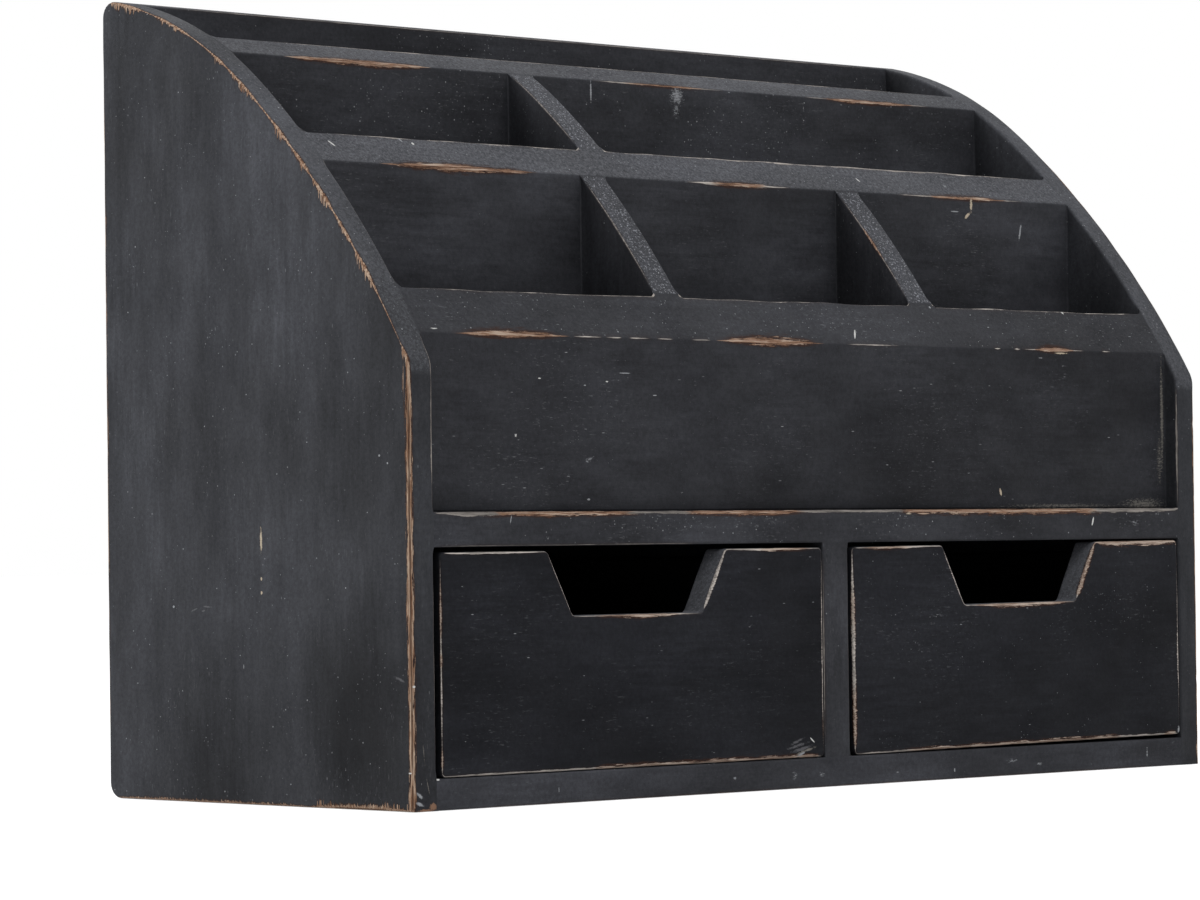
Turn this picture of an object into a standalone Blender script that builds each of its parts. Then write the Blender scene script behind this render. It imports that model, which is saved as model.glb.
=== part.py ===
"""Desk envelope sorter over two drawers, in black painted wood.

Metres, +Z up. X runs across the width, the front faces -Y, and the origin is the middle of the footprint,
on the surface that the piece stands on. Every cross board and partition takes its top edge from the same
curve as the two side panels.
"""

import math

import bmesh
import bpy

MM = 0.001

# Overall size
WIDTH = 370.8 * MM
DEPTH = 149.9 * MM
HEIGHT = 259.1 * MM

# Side panels: an upright front edge turns at a tight knee, climbs in a long shallow arc and ends in a
# rounder crown. The angles are the slope of the edge where one arc hands over to the next.
SIDE_THICKNESS = 9.8 * MM
KNEE_RADIUS = 9.0 * MM
SLOPE_RADIUS = 348.0 * MM
CROWN_RADIUS = 150.0 * MM
BACK_CORNER_RADIUS = 5.0 * MM
SIDE_EASED_EDGE = 1.0 * MM
SLOPE_START_ANGLE = math.radians(58.5)
CROWN_START_ANGLE = math.radians(38.6)
UPRIGHT_ANGLE = math.radians(90)

# Cross boards between the sides
CROSS_BOARD_THICKNESS = 10.6 * MM
BACK_THICKNESS = 10.6 * MM
PARTITION_THICKNESS = 10.6 * MM
FRONT_PANEL_SETBACK = 5.6 * MM
BOARD_EASED_EDGE = 0.7 * MM
MIDDLE_PARTITION_X = -51.3 * MM
ROWS = 3
FRONT_BAYS = 3

# Drawer storey
BASE_THICKNESS = 9.7 * MM
DRAWER_BAY_HEIGHT = 70.5 * MM
SHELF_THICKNESS = 10.8 * MM
SHELF_EASED_EDGE = 1.5 * MM
DRAWER_DIVIDER_THICKNESS = 12.0 * MM
DRAWER_DIVIDER_X = 0.4 * MM

# Drawers. Both stand a little to the right in their bays, and the right one's front is a little askew.
DRAWER_SIDE_CLEARANCE = 1.3 * MM
DRAWER_TOP_CLEARANCE = 1.6 * MM
DRAWER_DRIFT = 1.0 * MM
RIGHT_FRONT_TILT = math.radians(0.35)
DRAWER_FRONT_THICKNESS = 9.4 * MM
DRAWER_SIDE_THICKNESS = 7.0 * MM
DRAWER_BACK_THICKNESS = 7.0 * MM
DRAWER_BOTTOM_THICKNESS = 3.0 * MM
DRAWER_BOTTOM_LIFT = 5.0 * MM
DRAWER_SIDE_DROP = 3.0 * MM
GROOVE_DEPTH = 3.5 * MM
DRAWER_CORNER_RADIUS = 1.5 * MM
NOTCH_TOP_WIDTH = 78.0 * MM
NOTCH_BOTTOM_WIDTH = 56.5 * MM
NOTCH_DEPTH = 20.3 * MM
NOTCH_CORNER_RADIUS = 2.0 * MM
DRAWER_EASED_EDGE = 0.8 * MM

# Workshop values
JOINT_GAP = 0.3 * MM
CUT_OVERRUN = 2.0 * MM
WELD_DISTANCE = 0.001 * MM

# Facets
ARC_STEPS = (5, 14, 10, 6)
CORNER_STEPS = 3
BASE_CORNER_STEPS = 6
EASED_SEGMENTS = 2
SMOOTH_ANGLE = math.radians(35)
FLAT_ANGLE = math.radians(0.1)

# Finish: linear colour and roughness
SIDE_PAINT = ((0.045, 0.048, 0.055), 0.55)
BOARD_PAINT = ((0.030, 0.031, 0.035), 0.55)
DRAWER_PAINT = ((0.020, 0.021, 0.024), 0.50)
INSIDE_PAINT = ((0.016, 0.016, 0.018), 0.60)

# Derived places
FRONT_Y = -DEPTH / 2
BACK_Y = DEPTH / 2
BACK_FACE_Y = BACK_Y - BACK_THICKNESS
INNER_WIDTH = WIDTH - 2 * SIDE_THICKNESS
BOARD_LENGTH = INNER_WIDTH - 2 * JOINT_GAP
SHELF_BOTTOM = BASE_THICKNESS + DRAWER_BAY_HEIGHT
SHELF_TOP = SHELF_BOTTOM + SHELF_THICKNESS
BOARD_FOOT = SHELF_TOP + JOINT_GAP
FRONT_PANEL_Y = FRONT_Y + FRONT_PANEL_SETBACK
ROW_DEPTH = (BACK_FACE_Y - FRONT_PANEL_Y - ROWS * CROSS_BOARD_THICKNESS) / ROWS
ROW_PITCH = ROW_DEPTH + CROSS_BOARD_THICKNESS
FRONT_BAY_WIDTH = (INNER_WIDTH - (FRONT_BAYS - 1) * PARTITION_THICKNESS) / FRONT_BAYS
FRONT_PARTITION_X = (FRONT_BAY_WIDTH + PARTITION_THICKNESS) / 2
DIVIDER_LEFT = DRAWER_DIVIDER_X - DRAWER_DIVIDER_THICKNESS / 2
DIVIDER_RIGHT = DRAWER_DIVIDER_X + DRAWER_DIVIDER_THICKNESS / 2

parts = bpy.data.collections.new("envelope_sorter")
cutters = bpy.data.collections.new("cutters")


def clear_scene():
    for obj in list(bpy.data.objects):
        bpy.data.objects.remove(obj, do_unlink=True)
    for collection in (parts, cutters):
        bpy.context.scene.collection.children.link(collection)
    cutters.hide_render = True


def side_arcs():
    """The side's edge from knee to back corner: (centre y, centre z, radius, first slope, last slope)."""
    radii = (KNEE_RADIUS, SLOPE_RADIUS, CROWN_RADIUS, BACK_CORNER_RADIUS)
    knee_run = KNEE_RADIUS * (1 - math.sin(SLOPE_START_ANGLE))
    slope_run = SLOPE_RADIUS * (math.sin(SLOPE_START_ANGLE) - math.sin(CROWN_START_ANGLE))
    spare = knee_run + slope_run + CROWN_RADIUS * math.sin(CROWN_START_ANGLE) + BACK_CORNER_RADIUS - DEPTH
    crown_end = math.asin(spare / (CROWN_RADIUS - BACK_CORNER_RADIUS))
    slopes = (UPRIGHT_ANGLE, SLOPE_START_ANGLE, CROWN_START_ANGLE, crown_end, -UPRIGHT_ANGLE)
    y, z = FRONT_Y, 0
    arcs = []
    for radius, first, last in zip(radii, slopes, slopes[1:]):
        centre_y = y + radius * math.sin(first)
        centre_z = z - radius * math.cos(first)
        arcs.append((centre_y, centre_z, radius, first, last))
        y = centre_y - radius * math.sin(last)
        z = centre_z + radius * math.cos(last)
    top = max(cz + radius for cy, cz, radius, first, last in arcs if first >= 0 >= last)
    return [(cy, cz + HEIGHT - top, radius, first, last) for cy, cz, radius, first, last in arcs]


SIDE_ARCS = side_arcs()


def arc_points(centre_y, centre_z, radius, first, last, steps):
    slopes = [first + (last - first) * step / steps for step in range(steps + 1)]
    return [(centre_y - radius * math.sin(slope), centre_z + radius * math.cos(slope)) for slope in slopes]


def edge_points():
    """The curved edge from the top of the upright front to the back face, front to back."""
    points = []
    for arc, steps in zip(SIDE_ARCS, ARC_STEPS):
        run = arc_points(*arc, steps)
        points += run[1:] if points else run
    return points


def edge_height(y):
    """Height of the curved edge at a depth."""
    for centre_y, centre_z, radius, first, last in SIDE_ARCS:
        if y <= centre_y - radius * math.sin(last) + WELD_DISTANCE:
            return centre_z + math.sqrt(max(0, radius**2 - (y - centre_y) ** 2))
    return centre_z


def side_outline():
    """Both side panels' outline in (y, z)."""
    corner = (BACK_Y - BACK_CORNER_RADIUS, BACK_CORNER_RADIUS, BACK_CORNER_RADIUS)
    foot = arc_points(*corner, -UPRIGHT_ANGLE, -2 * UPRIGHT_ANGLE, BASE_CORNER_STEPS)
    return [(FRONT_Y, 0), *edge_points(), *foot]


def board_outline(front, back, foot):
    """A cross board's section, or a partition's face, in (y, z): upright faces under the shared curve."""
    curve = [point for point in edge_points() if front + BOARD_EASED_EDGE < point[0] < back - BOARD_EASED_EDGE]
    return [(front, foot), (front, edge_height(front)), *curve, (back, edge_height(back)), (back, foot)]


def rounded(corners, steps):
    """An outline from (x, z, radius) corners, each turned in a small arc."""
    points = []
    for before, corner, after in zip(corners[-1:] + corners[:-1], corners, corners[1:] + corners[:1]):
        into = math.atan2(corner[1] - before[1], corner[0] - before[0])
        out = math.atan2(after[1] - corner[1], after[0] - corner[0])
        turn = (out - into + math.pi) % (2 * math.pi) - math.pi
        reach = corner[2] * math.tan(abs(turn) / 2)
        side = math.copysign(1, turn)
        start_x = corner[0] - reach * math.cos(into)
        start_z = corner[1] - reach * math.sin(into)
        centre_x = start_x - side * corner[2] * math.sin(into)
        centre_z = start_z + side * corner[2] * math.cos(into)
        for step in range(steps + 1):
            heading = into + turn * step / steps
            x = centre_x + side * corner[2] * math.sin(heading)
            z = centre_z - side * corner[2] * math.cos(heading)
            points.append((x, z))
    return points


def finish(obj, paint):
    """Gives a piece its own painted material and clean shading."""
    colour, roughness = paint
    material = bpy.data.materials.new(obj.name + "_paint")
    material.use_nodes = True
    shader = material.node_tree.nodes["Principled BSDF"]
    shader.inputs["Base Color"].default_value = (*colour, 1)
    shader.inputs["Roughness"].default_value = roughness
    shader.inputs["Metallic"].default_value = 0
    obj.data.materials.append(material)
    obj.data.shade_smooth()
    obj.data.set_sharp_from_angle(angle=SMOOTH_ANGLE)


def ease(obj, width, chosen):
    """Rounds the edges that chosen(a, b) picks by their two ends, in the mesh's own frame."""
    mesh = obj.data
    weights = mesh.attributes.new("bevel_weight_edge", "FLOAT", "EDGE")
    for edge in mesh.edges:
        a, b = (mesh.vertices[index].co for index in edge.vertices)
        weights.data[edge.index].value = float(chosen(a, b))
    bevel = obj.modifiers.new("eased edges", "BEVEL")
    bevel.limit_method = "WEIGHT"
    bevel.width = width
    bevel.segments = EASED_SEGMENTS
    bevel.use_clamp_overlap = False


def near(a, b):
    return abs(a - b) < WELD_DISTANCE


def plate(name, outline, thickness, turn, place, collection=parts):
    """A flat outline made solid. turn stands it up, and place is the middle of its thickness."""
    curve = bpy.data.curves.new(name, "CURVE")
    curve.dimensions = "2D"
    curve.fill_mode = "BOTH"
    curve.extrude = thickness / 2
    spline = curve.splines.new("POLY")
    spline.points.add(len(outline) - 1)
    for point, (across, up) in zip(spline.points, outline):
        point.co = (across, up, 0, 1)
    spline.use_cyclic_u = True
    drawn = bpy.data.objects.new(name + "_outline", curve)
    bpy.context.scene.collection.objects.link(drawn)
    graph = bpy.context.evaluated_depsgraph_get()
    mesh = bpy.data.meshes.new_from_object(drawn.evaluated_get(graph))
    bpy.data.objects.remove(drawn)
    bpy.data.curves.remove(curve)
    tidy = bmesh.new()
    tidy.from_mesh(mesh)
    bmesh.ops.remove_doubles(tidy, verts=tidy.verts, dist=WELD_DISTANCE)
    bmesh.ops.dissolve_limit(tidy, angle_limit=FLAT_ANGLE, verts=tidy.verts, edges=tidy.edges)
    bmesh.ops.recalc_face_normals(tidy, faces=tidy.faces)
    tidy.to_mesh(mesh)
    tidy.free()
    mesh.name = name
    obj = bpy.data.objects.new(name, mesh)
    obj.rotation_euler = turn
    obj.location = place
    collection.objects.link(obj)
    return obj


# An outline in (y, z) that gets its thickness along X, and one in (x, z) that gets it along Y
ALONG_X = (math.radians(90), 0, math.radians(90))
ALONG_Y = (math.radians(90), 0, 0)


def box(name, low, high, collection=parts):
    """A board between two opposite corners, with its origin at its middle."""
    size = [b - a for a, b in zip(low, high)]
    middle = [(a + b) / 2 for a, b in zip(low, high)]
    mesh = bpy.data.meshes.new(name)
    block = bmesh.new()
    bmesh.ops.create_cube(block, size=1)
    bmesh.ops.scale(block, vec=size, verts=block.verts)
    block.to_mesh(mesh)
    block.free()
    obj = bpy.data.objects.new(name, mesh)
    obj.location = middle
    collection.objects.link(obj)
    return obj


def cut(obj, name, low, high, parent=None):
    """Cuts a box out of a piece."""
    cutter = box(name, low, high, cutters)
    cutter.hide_render = True
    cutter.display_type = "WIRE"
    cutter.parent = parent
    boolean = obj.modifiers.new(name, "BOOLEAN")
    boolean.operation = "DIFFERENCE"
    boolean.object = cutter


def build_side(name, x):
    """A side panel: the full outline, all its edges eased."""
    side = plate(name, side_outline(), SIDE_THICKNESS, ALONG_X, (x, 0, 0))
    ease(side, SIDE_EASED_EDGE, lambda a, b: near(a.z, b.z))
    finish(side, SIDE_PAINT)


def build_cross_board(name, front, back, foot):
    """A board from side to side whose top edge lies in the curve."""
    outline = board_outline(front, back, foot)
    board = plate(name, outline, BOARD_LENGTH, ALONG_X, (0, 0, 0))
    low_arrises = (front, back) if back < BACK_Y - BACK_CORNER_RADIUS else (front,)

    def on_top_arris(a, b):
        runs_across = not near(a.z, b.z)
        return runs_across and a.y > foot + BOARD_EASED_EDGE and any(near(a.x, y) for y in low_arrises)

    ease(board, BOARD_EASED_EDGE, on_top_arris)
    finish(board, BOARD_PAINT)


def build_partition(name, x, front, back):
    """A short board between two cross boards, its top edge in the curve."""
    outline = board_outline(front + JOINT_GAP, back - JOINT_GAP, BOARD_FOOT)
    board = plate(name, outline, PARTITION_THICKNESS, ALONG_X, (x, 0, 0))

    def on_top_arris(a, b):
        return near(a.z, b.z) and min(a.y, b.y) > BOARD_FOOT + BOARD_EASED_EDGE

    ease(board, BOARD_EASED_EDGE, on_top_arris)
    finish(board, BOARD_PAINT)


def build_upper_storey():
    """Front panel, dividers and partitions, standing on the shelf."""
    faces = [FRONT_PANEL_Y + row * ROW_PITCH for row in range(ROWS)]
    for name, face in zip(("front_panel", "divider_middle", "divider_upper"), faces):
        build_cross_board(name, face, face + CROSS_BOARD_THICKNESS, BOARD_FOOT)
    build_cross_board("back_panel", BACK_FACE_Y, BACK_Y, 0)
    front_row = (faces[0] + CROSS_BOARD_THICKNESS, faces[1])
    middle_row = (faces[1] + CROSS_BOARD_THICKNESS, faces[2])
    build_partition("partition_front_left", -FRONT_PARTITION_X, *front_row)
    build_partition("partition_front_right", FRONT_PARTITION_X, *front_row)
    build_partition("partition_middle", MIDDLE_PARTITION_X, *middle_row)


def build_level_board(name, low_z, high_z, eased):
    """A level board from side to side with an eased front edge."""
    low = (-BOARD_LENGTH / 2, FRONT_Y, low_z)
    high = (BOARD_LENGTH / 2, BACK_FACE_Y - JOINT_GAP, high_z)
    board = box(name, low, high)
    front = (low[1] - high[1]) / 2
    ease(board, eased, lambda a, b: near(a.y, front) and near(b.y, front) and near(a.z, b.z))
    finish(board, BOARD_PAINT)


def build_drawer_divider():
    """The upright board between the drawers."""
    low = (DIVIDER_LEFT, FRONT_Y, BASE_THICKNESS + JOINT_GAP)
    high = (DIVIDER_RIGHT, BACK_FACE_Y - JOINT_GAP, SHELF_BOTTOM - JOINT_GAP)
    board = box("drawer_divider", low, high)
    front = (low[1] - high[1]) / 2
    ease(board, BOARD_EASED_EDGE, lambda a, b: near(a.y, front) and near(b.y, front) and near(a.x, b.x))
    finish(board, BOARD_PAINT)


def drawer_front_outline(width, height, tilt):
    """A drawer front in (x, z), a finger notch in its top edge, turned by tilt about its low left corner."""
    half = width / 2
    top_half = NOTCH_TOP_WIDTH / 2
    bottom_half = NOTCH_BOTTOM_WIDTH / 2
    notch_floor = height - NOTCH_DEPTH
    corners = [
        (-half, 0, DRAWER_CORNER_RADIUS),
        (half, 0, DRAWER_CORNER_RADIUS),
        (half, height, DRAWER_CORNER_RADIUS),
        (top_half, height, NOTCH_CORNER_RADIUS),
        (bottom_half, notch_floor, NOTCH_CORNER_RADIUS),
        (-bottom_half, notch_floor, NOTCH_CORNER_RADIUS),
        (-top_half, height, NOTCH_CORNER_RADIUS),
        (-half, height, DRAWER_CORNER_RADIUS),
    ]
    points = []
    for x, z in rounded(corners, CORNER_STEPS):
        turned_x = (x + half) * math.cos(tilt) - z * math.sin(tilt) - half
        turned_z = (x + half) * math.sin(tilt) + z * math.cos(tilt)
        points.append((turned_x, turned_z))
    return points


def build_drawer_front(name, slide, width, height, tilt, groove_low, groove_high):
    """The notched front, with a stopped groove behind it for the bottom panel."""
    middle = (0, DRAWER_FRONT_THICKNESS / 2, 0)
    outline = drawer_front_outline(width, height, tilt)
    front = plate(name + "_front", outline, DRAWER_FRONT_THICKNESS, ALONG_Y, middle)
    front.parent = slide
    ease(front, DRAWER_EASED_EDGE, lambda a, b: near(a.z, b.z))
    reach = width / 2 - DRAWER_SIDE_THICKNESS + GROOVE_DEPTH
    low = (-reach, DRAWER_FRONT_THICKNESS - GROOVE_DEPTH, groove_low)
    high = (reach, DRAWER_FRONT_THICKNESS + CUT_OVERRUN, groove_high)
    cut(front, name + "_front_groove", low, high, slide)
    finish(front, DRAWER_PAINT)


def build_drawer_side(name, slide, outer, inner, length, height, groove_low, groove_high):
    """A drawer side between its outer and inner face, grooved along its whole inner face."""
    start = DRAWER_FRONT_THICKNESS + JOINT_GAP
    low_x, high_x = min(outer, inner), max(outer, inner)
    side = box(name, (low_x, start, 0), (high_x, length, height))
    side.parent = slide
    half_height = height / 2
    ease(side, DRAWER_EASED_EDGE, lambda a, b: near(min(a.z, b.z), half_height) and near(a.x, b.x))
    towards_middle = math.copysign(1, -inner)
    groove_wall = inner - towards_middle * GROOVE_DEPTH
    past_face = inner + towards_middle * CUT_OVERRUN
    low = (min(groove_wall, past_face), start - CUT_OVERRUN, groove_low)
    high = (max(groove_wall, past_face), length + CUT_OVERRUN, groove_high)
    cut(side, name + "_groove", low, high, slide)
    finish(side, INSIDE_PAINT)


def build_drawer_back(name, slide, half_width, length, foot, height):
    """The drawer's back, standing on the bottom panel between the sides."""
    low = (-half_width, length - DRAWER_BACK_THICKNESS, foot)
    high = (half_width, length, height)
    back = box(name + "_back", low, high)
    back.parent = slide
    half_height = (height - foot) / 2
    ease(back, DRAWER_EASED_EDGE, lambda a, b: near(min(a.z, b.z), half_height) and near(a.y, b.y))
    finish(back, INSIDE_PAINT)


def build_drawer(name, bay_left, bay_right, tilt):
    """A drawer in its bay, closed: its slide empty is at the foot of the front face."""
    slide = bpy.data.objects.new(name + "_slide", None)
    slide.location = ((bay_left + bay_right) / 2 + DRAWER_DRIFT, FRONT_Y, BASE_THICKNESS + JOINT_GAP)
    parts.objects.link(slide)
    width = bay_right - bay_left - 2 * DRAWER_SIDE_CLEARANCE
    length = BACK_FACE_Y - JOINT_GAP - FRONT_Y
    height = DRAWER_BAY_HEIGHT - JOINT_GAP - DRAWER_TOP_CLEARANCE
    side_height = height - DRAWER_SIDE_DROP
    groove_low = DRAWER_BOTTOM_LIFT
    groove_high = groove_low + DRAWER_BOTTOM_THICKNESS + 2 * JOINT_GAP
    inner_half = width / 2 - DRAWER_SIDE_THICKNESS
    build_drawer_front(name, slide, width, height, tilt, groove_low, groove_high)
    for hand, sign in (("left", -1), ("right", 1)):
        faces = (sign * width / 2, sign * inner_half)
        build_drawer_side(f"{name}_side_{hand}", slide, *faces, length, side_height, groove_low, groove_high)
    build_drawer_back(name, slide, inner_half - JOINT_GAP, length, groove_high, side_height)
    bottom_half = inner_half + GROOVE_DEPTH - JOINT_GAP
    bottom_front = DRAWER_FRONT_THICKNESS - GROOVE_DEPTH + JOINT_GAP
    low = (-bottom_half, bottom_front, groove_low + JOINT_GAP)
    high = (bottom_half, length, groove_high - JOINT_GAP)
    bottom = box(name + "_bottom", low, high)
    bottom.parent = slide
    finish(bottom, INSIDE_PAINT)


def build_drawer_storey():
    """Base, shelf, the board between the drawers, and the two drawers."""
    build_level_board("base_panel", 0, BASE_THICKNESS, BOARD_EASED_EDGE)
    build_level_board("shelf", SHELF_BOTTOM, SHELF_TOP, SHELF_EASED_EDGE)
    build_drawer_divider()
    build_drawer("drawer_left", -INNER_WIDTH / 2, DIVIDER_LEFT, 0)
    build_drawer("drawer_right", DIVIDER_RIGHT, INNER_WIDTH / 2, RIGHT_FRONT_TILT)


def main():
    clear_scene()
    side_x = (WIDTH - SIDE_THICKNESS) / 2
    build_side("side_panel_left", -side_x)
    build_side("side_panel_right", side_x)
    build_upper_storey()
    build_drawer_storey()


main()
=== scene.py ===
from functools import partialmethod
from math import asin, atan2, copysign, cos, dist, pi, radians, sin, sqrt, tan

import bmesh
import bpy
from mathutils import Matrix, Vector, noise


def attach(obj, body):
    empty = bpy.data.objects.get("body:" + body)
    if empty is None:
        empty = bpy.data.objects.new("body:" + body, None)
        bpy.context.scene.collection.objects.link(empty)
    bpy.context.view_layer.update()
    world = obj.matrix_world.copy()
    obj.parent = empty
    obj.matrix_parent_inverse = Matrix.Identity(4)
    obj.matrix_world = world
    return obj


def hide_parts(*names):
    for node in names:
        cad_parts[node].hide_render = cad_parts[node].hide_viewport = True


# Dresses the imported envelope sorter: every board again with finely worn arrises, in black paint that is
# sanded through to the wood. Lengths are in millimetres until a mesh is made.

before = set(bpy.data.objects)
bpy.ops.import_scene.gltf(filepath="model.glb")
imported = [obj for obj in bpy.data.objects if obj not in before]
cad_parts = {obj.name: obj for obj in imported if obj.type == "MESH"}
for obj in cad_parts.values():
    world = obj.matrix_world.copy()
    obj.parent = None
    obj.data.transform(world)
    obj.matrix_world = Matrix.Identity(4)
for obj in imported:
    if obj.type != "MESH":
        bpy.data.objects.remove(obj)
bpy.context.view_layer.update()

MM = 0.001

# The part's own sizes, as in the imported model
WIDTH, DEPTH, HEIGHT = 370.8, 149.9, 259.1
SIDE_THICKNESS = 9.8
KNEE_RADIUS, SLOPE_RADIUS, CROWN_RADIUS, BACK_CORNER_RADIUS = 9.0, 348.0, 150.0, 5.0
SLOPE_START_ANGLE = radians(58.5)
CROWN_START_ANGLE = radians(38.6)
UPRIGHT_ANGLE = radians(90)
BOARD_THICKNESS = 10.6
FRONT_PANEL_SETBACK = 5.6
MIDDLE_PARTITION_X = -51.3
FRONT_PARTITION_X = 60.3
ROWS = 3
BASE_THICKNESS = 9.7
BAY_HEIGHT = 70.5
SHELF_THICKNESS = 10.8
DIVIDER_LEFT, DIVIDER_RIGHT = -5.6, 6.4
LEFT_DRAWER_LEFT, LEFT_DRAWER_RIGHT = -173.3, -5.9
RIGHT_DRAWER_LEFT, RIGHT_DRAWER_RIGHT = 8.7, 175.3
RIGHT_FRONT_TILT = radians(0.35)
DRAWER_TOP_CLEARANCE = 1.6
DRAWER_FRONT_THICKNESS = 9.4
DRAWER_CORNER_RADIUS = 1.5
NOTCH_TOP_WIDTH, NOTCH_BOTTOM_WIDTH, NOTCH_DEPTH = 78.0, 56.5, 20.3
NOTCH_CORNER_RADIUS = 2.0
BOX_THICKNESS = 7.0
BOX_SIDE_DROP = 3.0
BOX_BOTTOM_LIFT = 5.0
BOX_BACK_LIFT = 8.5
GROOVE_DEPTH = 3.5
JOINT_GAP = 0.3

# Derived places
FRONT_Y, BACK_Y = -DEPTH / 2, DEPTH / 2
OUTER_X = WIDTH / 2
INNER_X = OUTER_X - SIDE_THICKNESS
FRONT_PANEL_Y = FRONT_Y + FRONT_PANEL_SETBACK
BACK_FACE_Y = BACK_Y - BOARD_THICKNESS
ROW_PITCH = (BACK_FACE_Y - FRONT_PANEL_Y) / ROWS
SHELF_BOTTOM = BASE_THICKNESS + BAY_HEIGHT
SHELF_TOP = SHELF_BOTTOM + SHELF_THICKNESS
# Fronts of the cross boards, which run from side panel to side panel
CROSS_BOARDS = {
    "front_panel": FRONT_PANEL_Y,
    "divider_middle": FRONT_PANEL_Y + ROW_PITCH,
    "divider_upper": FRONT_PANEL_Y + 2 * ROW_PITCH,
    "back_panel": BACK_FACE_Y,
}

# Fineness of the meshes: spacing of points, steps in a rounding, and gaps from an arris to the points by it
SPACING = 2.0
ARC_STEPS = 5
CORNER_STEPS = 4
BACK_CORNER_STEPS = 8
ROUND_STEPS = 6
SUPPORTS = (0.3, 0.9, 1.8)
FACE_SUPPORTS = (*SUPPORTS, 3.5, 7.0)
JOINT_SUPPORTS = (0.08, 0.3, 0.6, 1.0, 1.4, 2.0)
INSETS = (0, 0.5, 1.0, 1.5, 2.0, 3.0, 4.5)
NEAR = 1e-4
# Distance from its arris, as the materials read it, of a point deep inside or far down a face
FAR, MIDWAY = 99, 60

# A sharp arris's radius, how far glued boards run into each other, the paint fillet in a corner, how far
# from a flush joint an arris has its full rounding, and how far the right side's front foot is worn off
SHARP = 0.04
LAP = 0.05
FILLET = 0.7
JOINT_REACH = 1.5
WORN_FOOT = 1.2
# How deep a swelling of a plate's faces reaches down its edge, and how far back a side's inner foot is eased
FADE_DEPTH, EASED_FOOT = 4, 2
# Roundings of the arrises before sanding
SIDE_ROUNDING, BOARD_ROUNDING, LEVEL_ROUNDING, DRAWER_ROUNDING = 1.0, 0.7, 1.0, 0.8
# Places of the back board's sections from its front arris to the crown, as shares, and the first point below
# its back corner
CROWN_SHARES = (0.05, 0.15, 0.35, 0.65, 1)
BACK_DROP, BACK_OFF = 4, -9
# A cross board's foot is drawn back in a small round: (back, up)
CREVICE = ((0.8, 0), (0.4, 0.12), (0.12, 0.4), (0, 0.8))


def side_arcs():
    """The side's edge from knee to back corner: (centre y, centre z, radius, first slope, last slope)."""
    radii = (KNEE_RADIUS, SLOPE_RADIUS, CROWN_RADIUS, BACK_CORNER_RADIUS)
    knee_run = KNEE_RADIUS * (1 - sin(SLOPE_START_ANGLE))
    slope_run = SLOPE_RADIUS * (sin(SLOPE_START_ANGLE) - sin(CROWN_START_ANGLE))
    spare = knee_run + slope_run + CROWN_RADIUS * sin(CROWN_START_ANGLE) + BACK_CORNER_RADIUS - DEPTH
    crown_end = asin(spare / (CROWN_RADIUS - BACK_CORNER_RADIUS))
    slopes = (UPRIGHT_ANGLE, SLOPE_START_ANGLE, CROWN_START_ANGLE, crown_end, -UPRIGHT_ANGLE)
    y, z = FRONT_Y, 0
    arcs = []
    for radius, first, last in zip(radii, slopes, slopes[1:]):
        centre_y = y + radius * sin(first)
        centre_z = z - radius * cos(first)
        arcs.append((centre_y, centre_z, radius, first, last))
        y = centre_y - radius * sin(last)
        z = centre_z + radius * cos(last)
    top = max(cz + radius for cy, cz, radius, first, last in arcs if first >= 0 >= last)
    return [(cy, cz + HEIGHT - top, radius, first, last) for cy, cz, radius, first, last in arcs]


SIDE_ARCS = side_arcs()


def edge_height(y, inset=0):
    """Height of the curved edge at a depth, or of the line that runs inset below it."""
    for centre_y, centre_z, radius, first, last in SIDE_ARCS:
        inner = radius - inset
        if y <= centre_y - inner * sin(last) + NEAR:
            return centre_z + sqrt(max(0, inner**2 - (y - centre_y) ** 2))
    return centre_z


def edge_slope(y):
    """Slope angle of the curved edge at a depth."""
    for centre_y, centre_z, radius, first, last in SIDE_ARCS:
        if y <= centre_y - radius * sin(last) + NEAR:
            return asin(max(-1, min(1, (centre_y - y) / radius)))
    return -UPRIGHT_ANGLE


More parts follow.
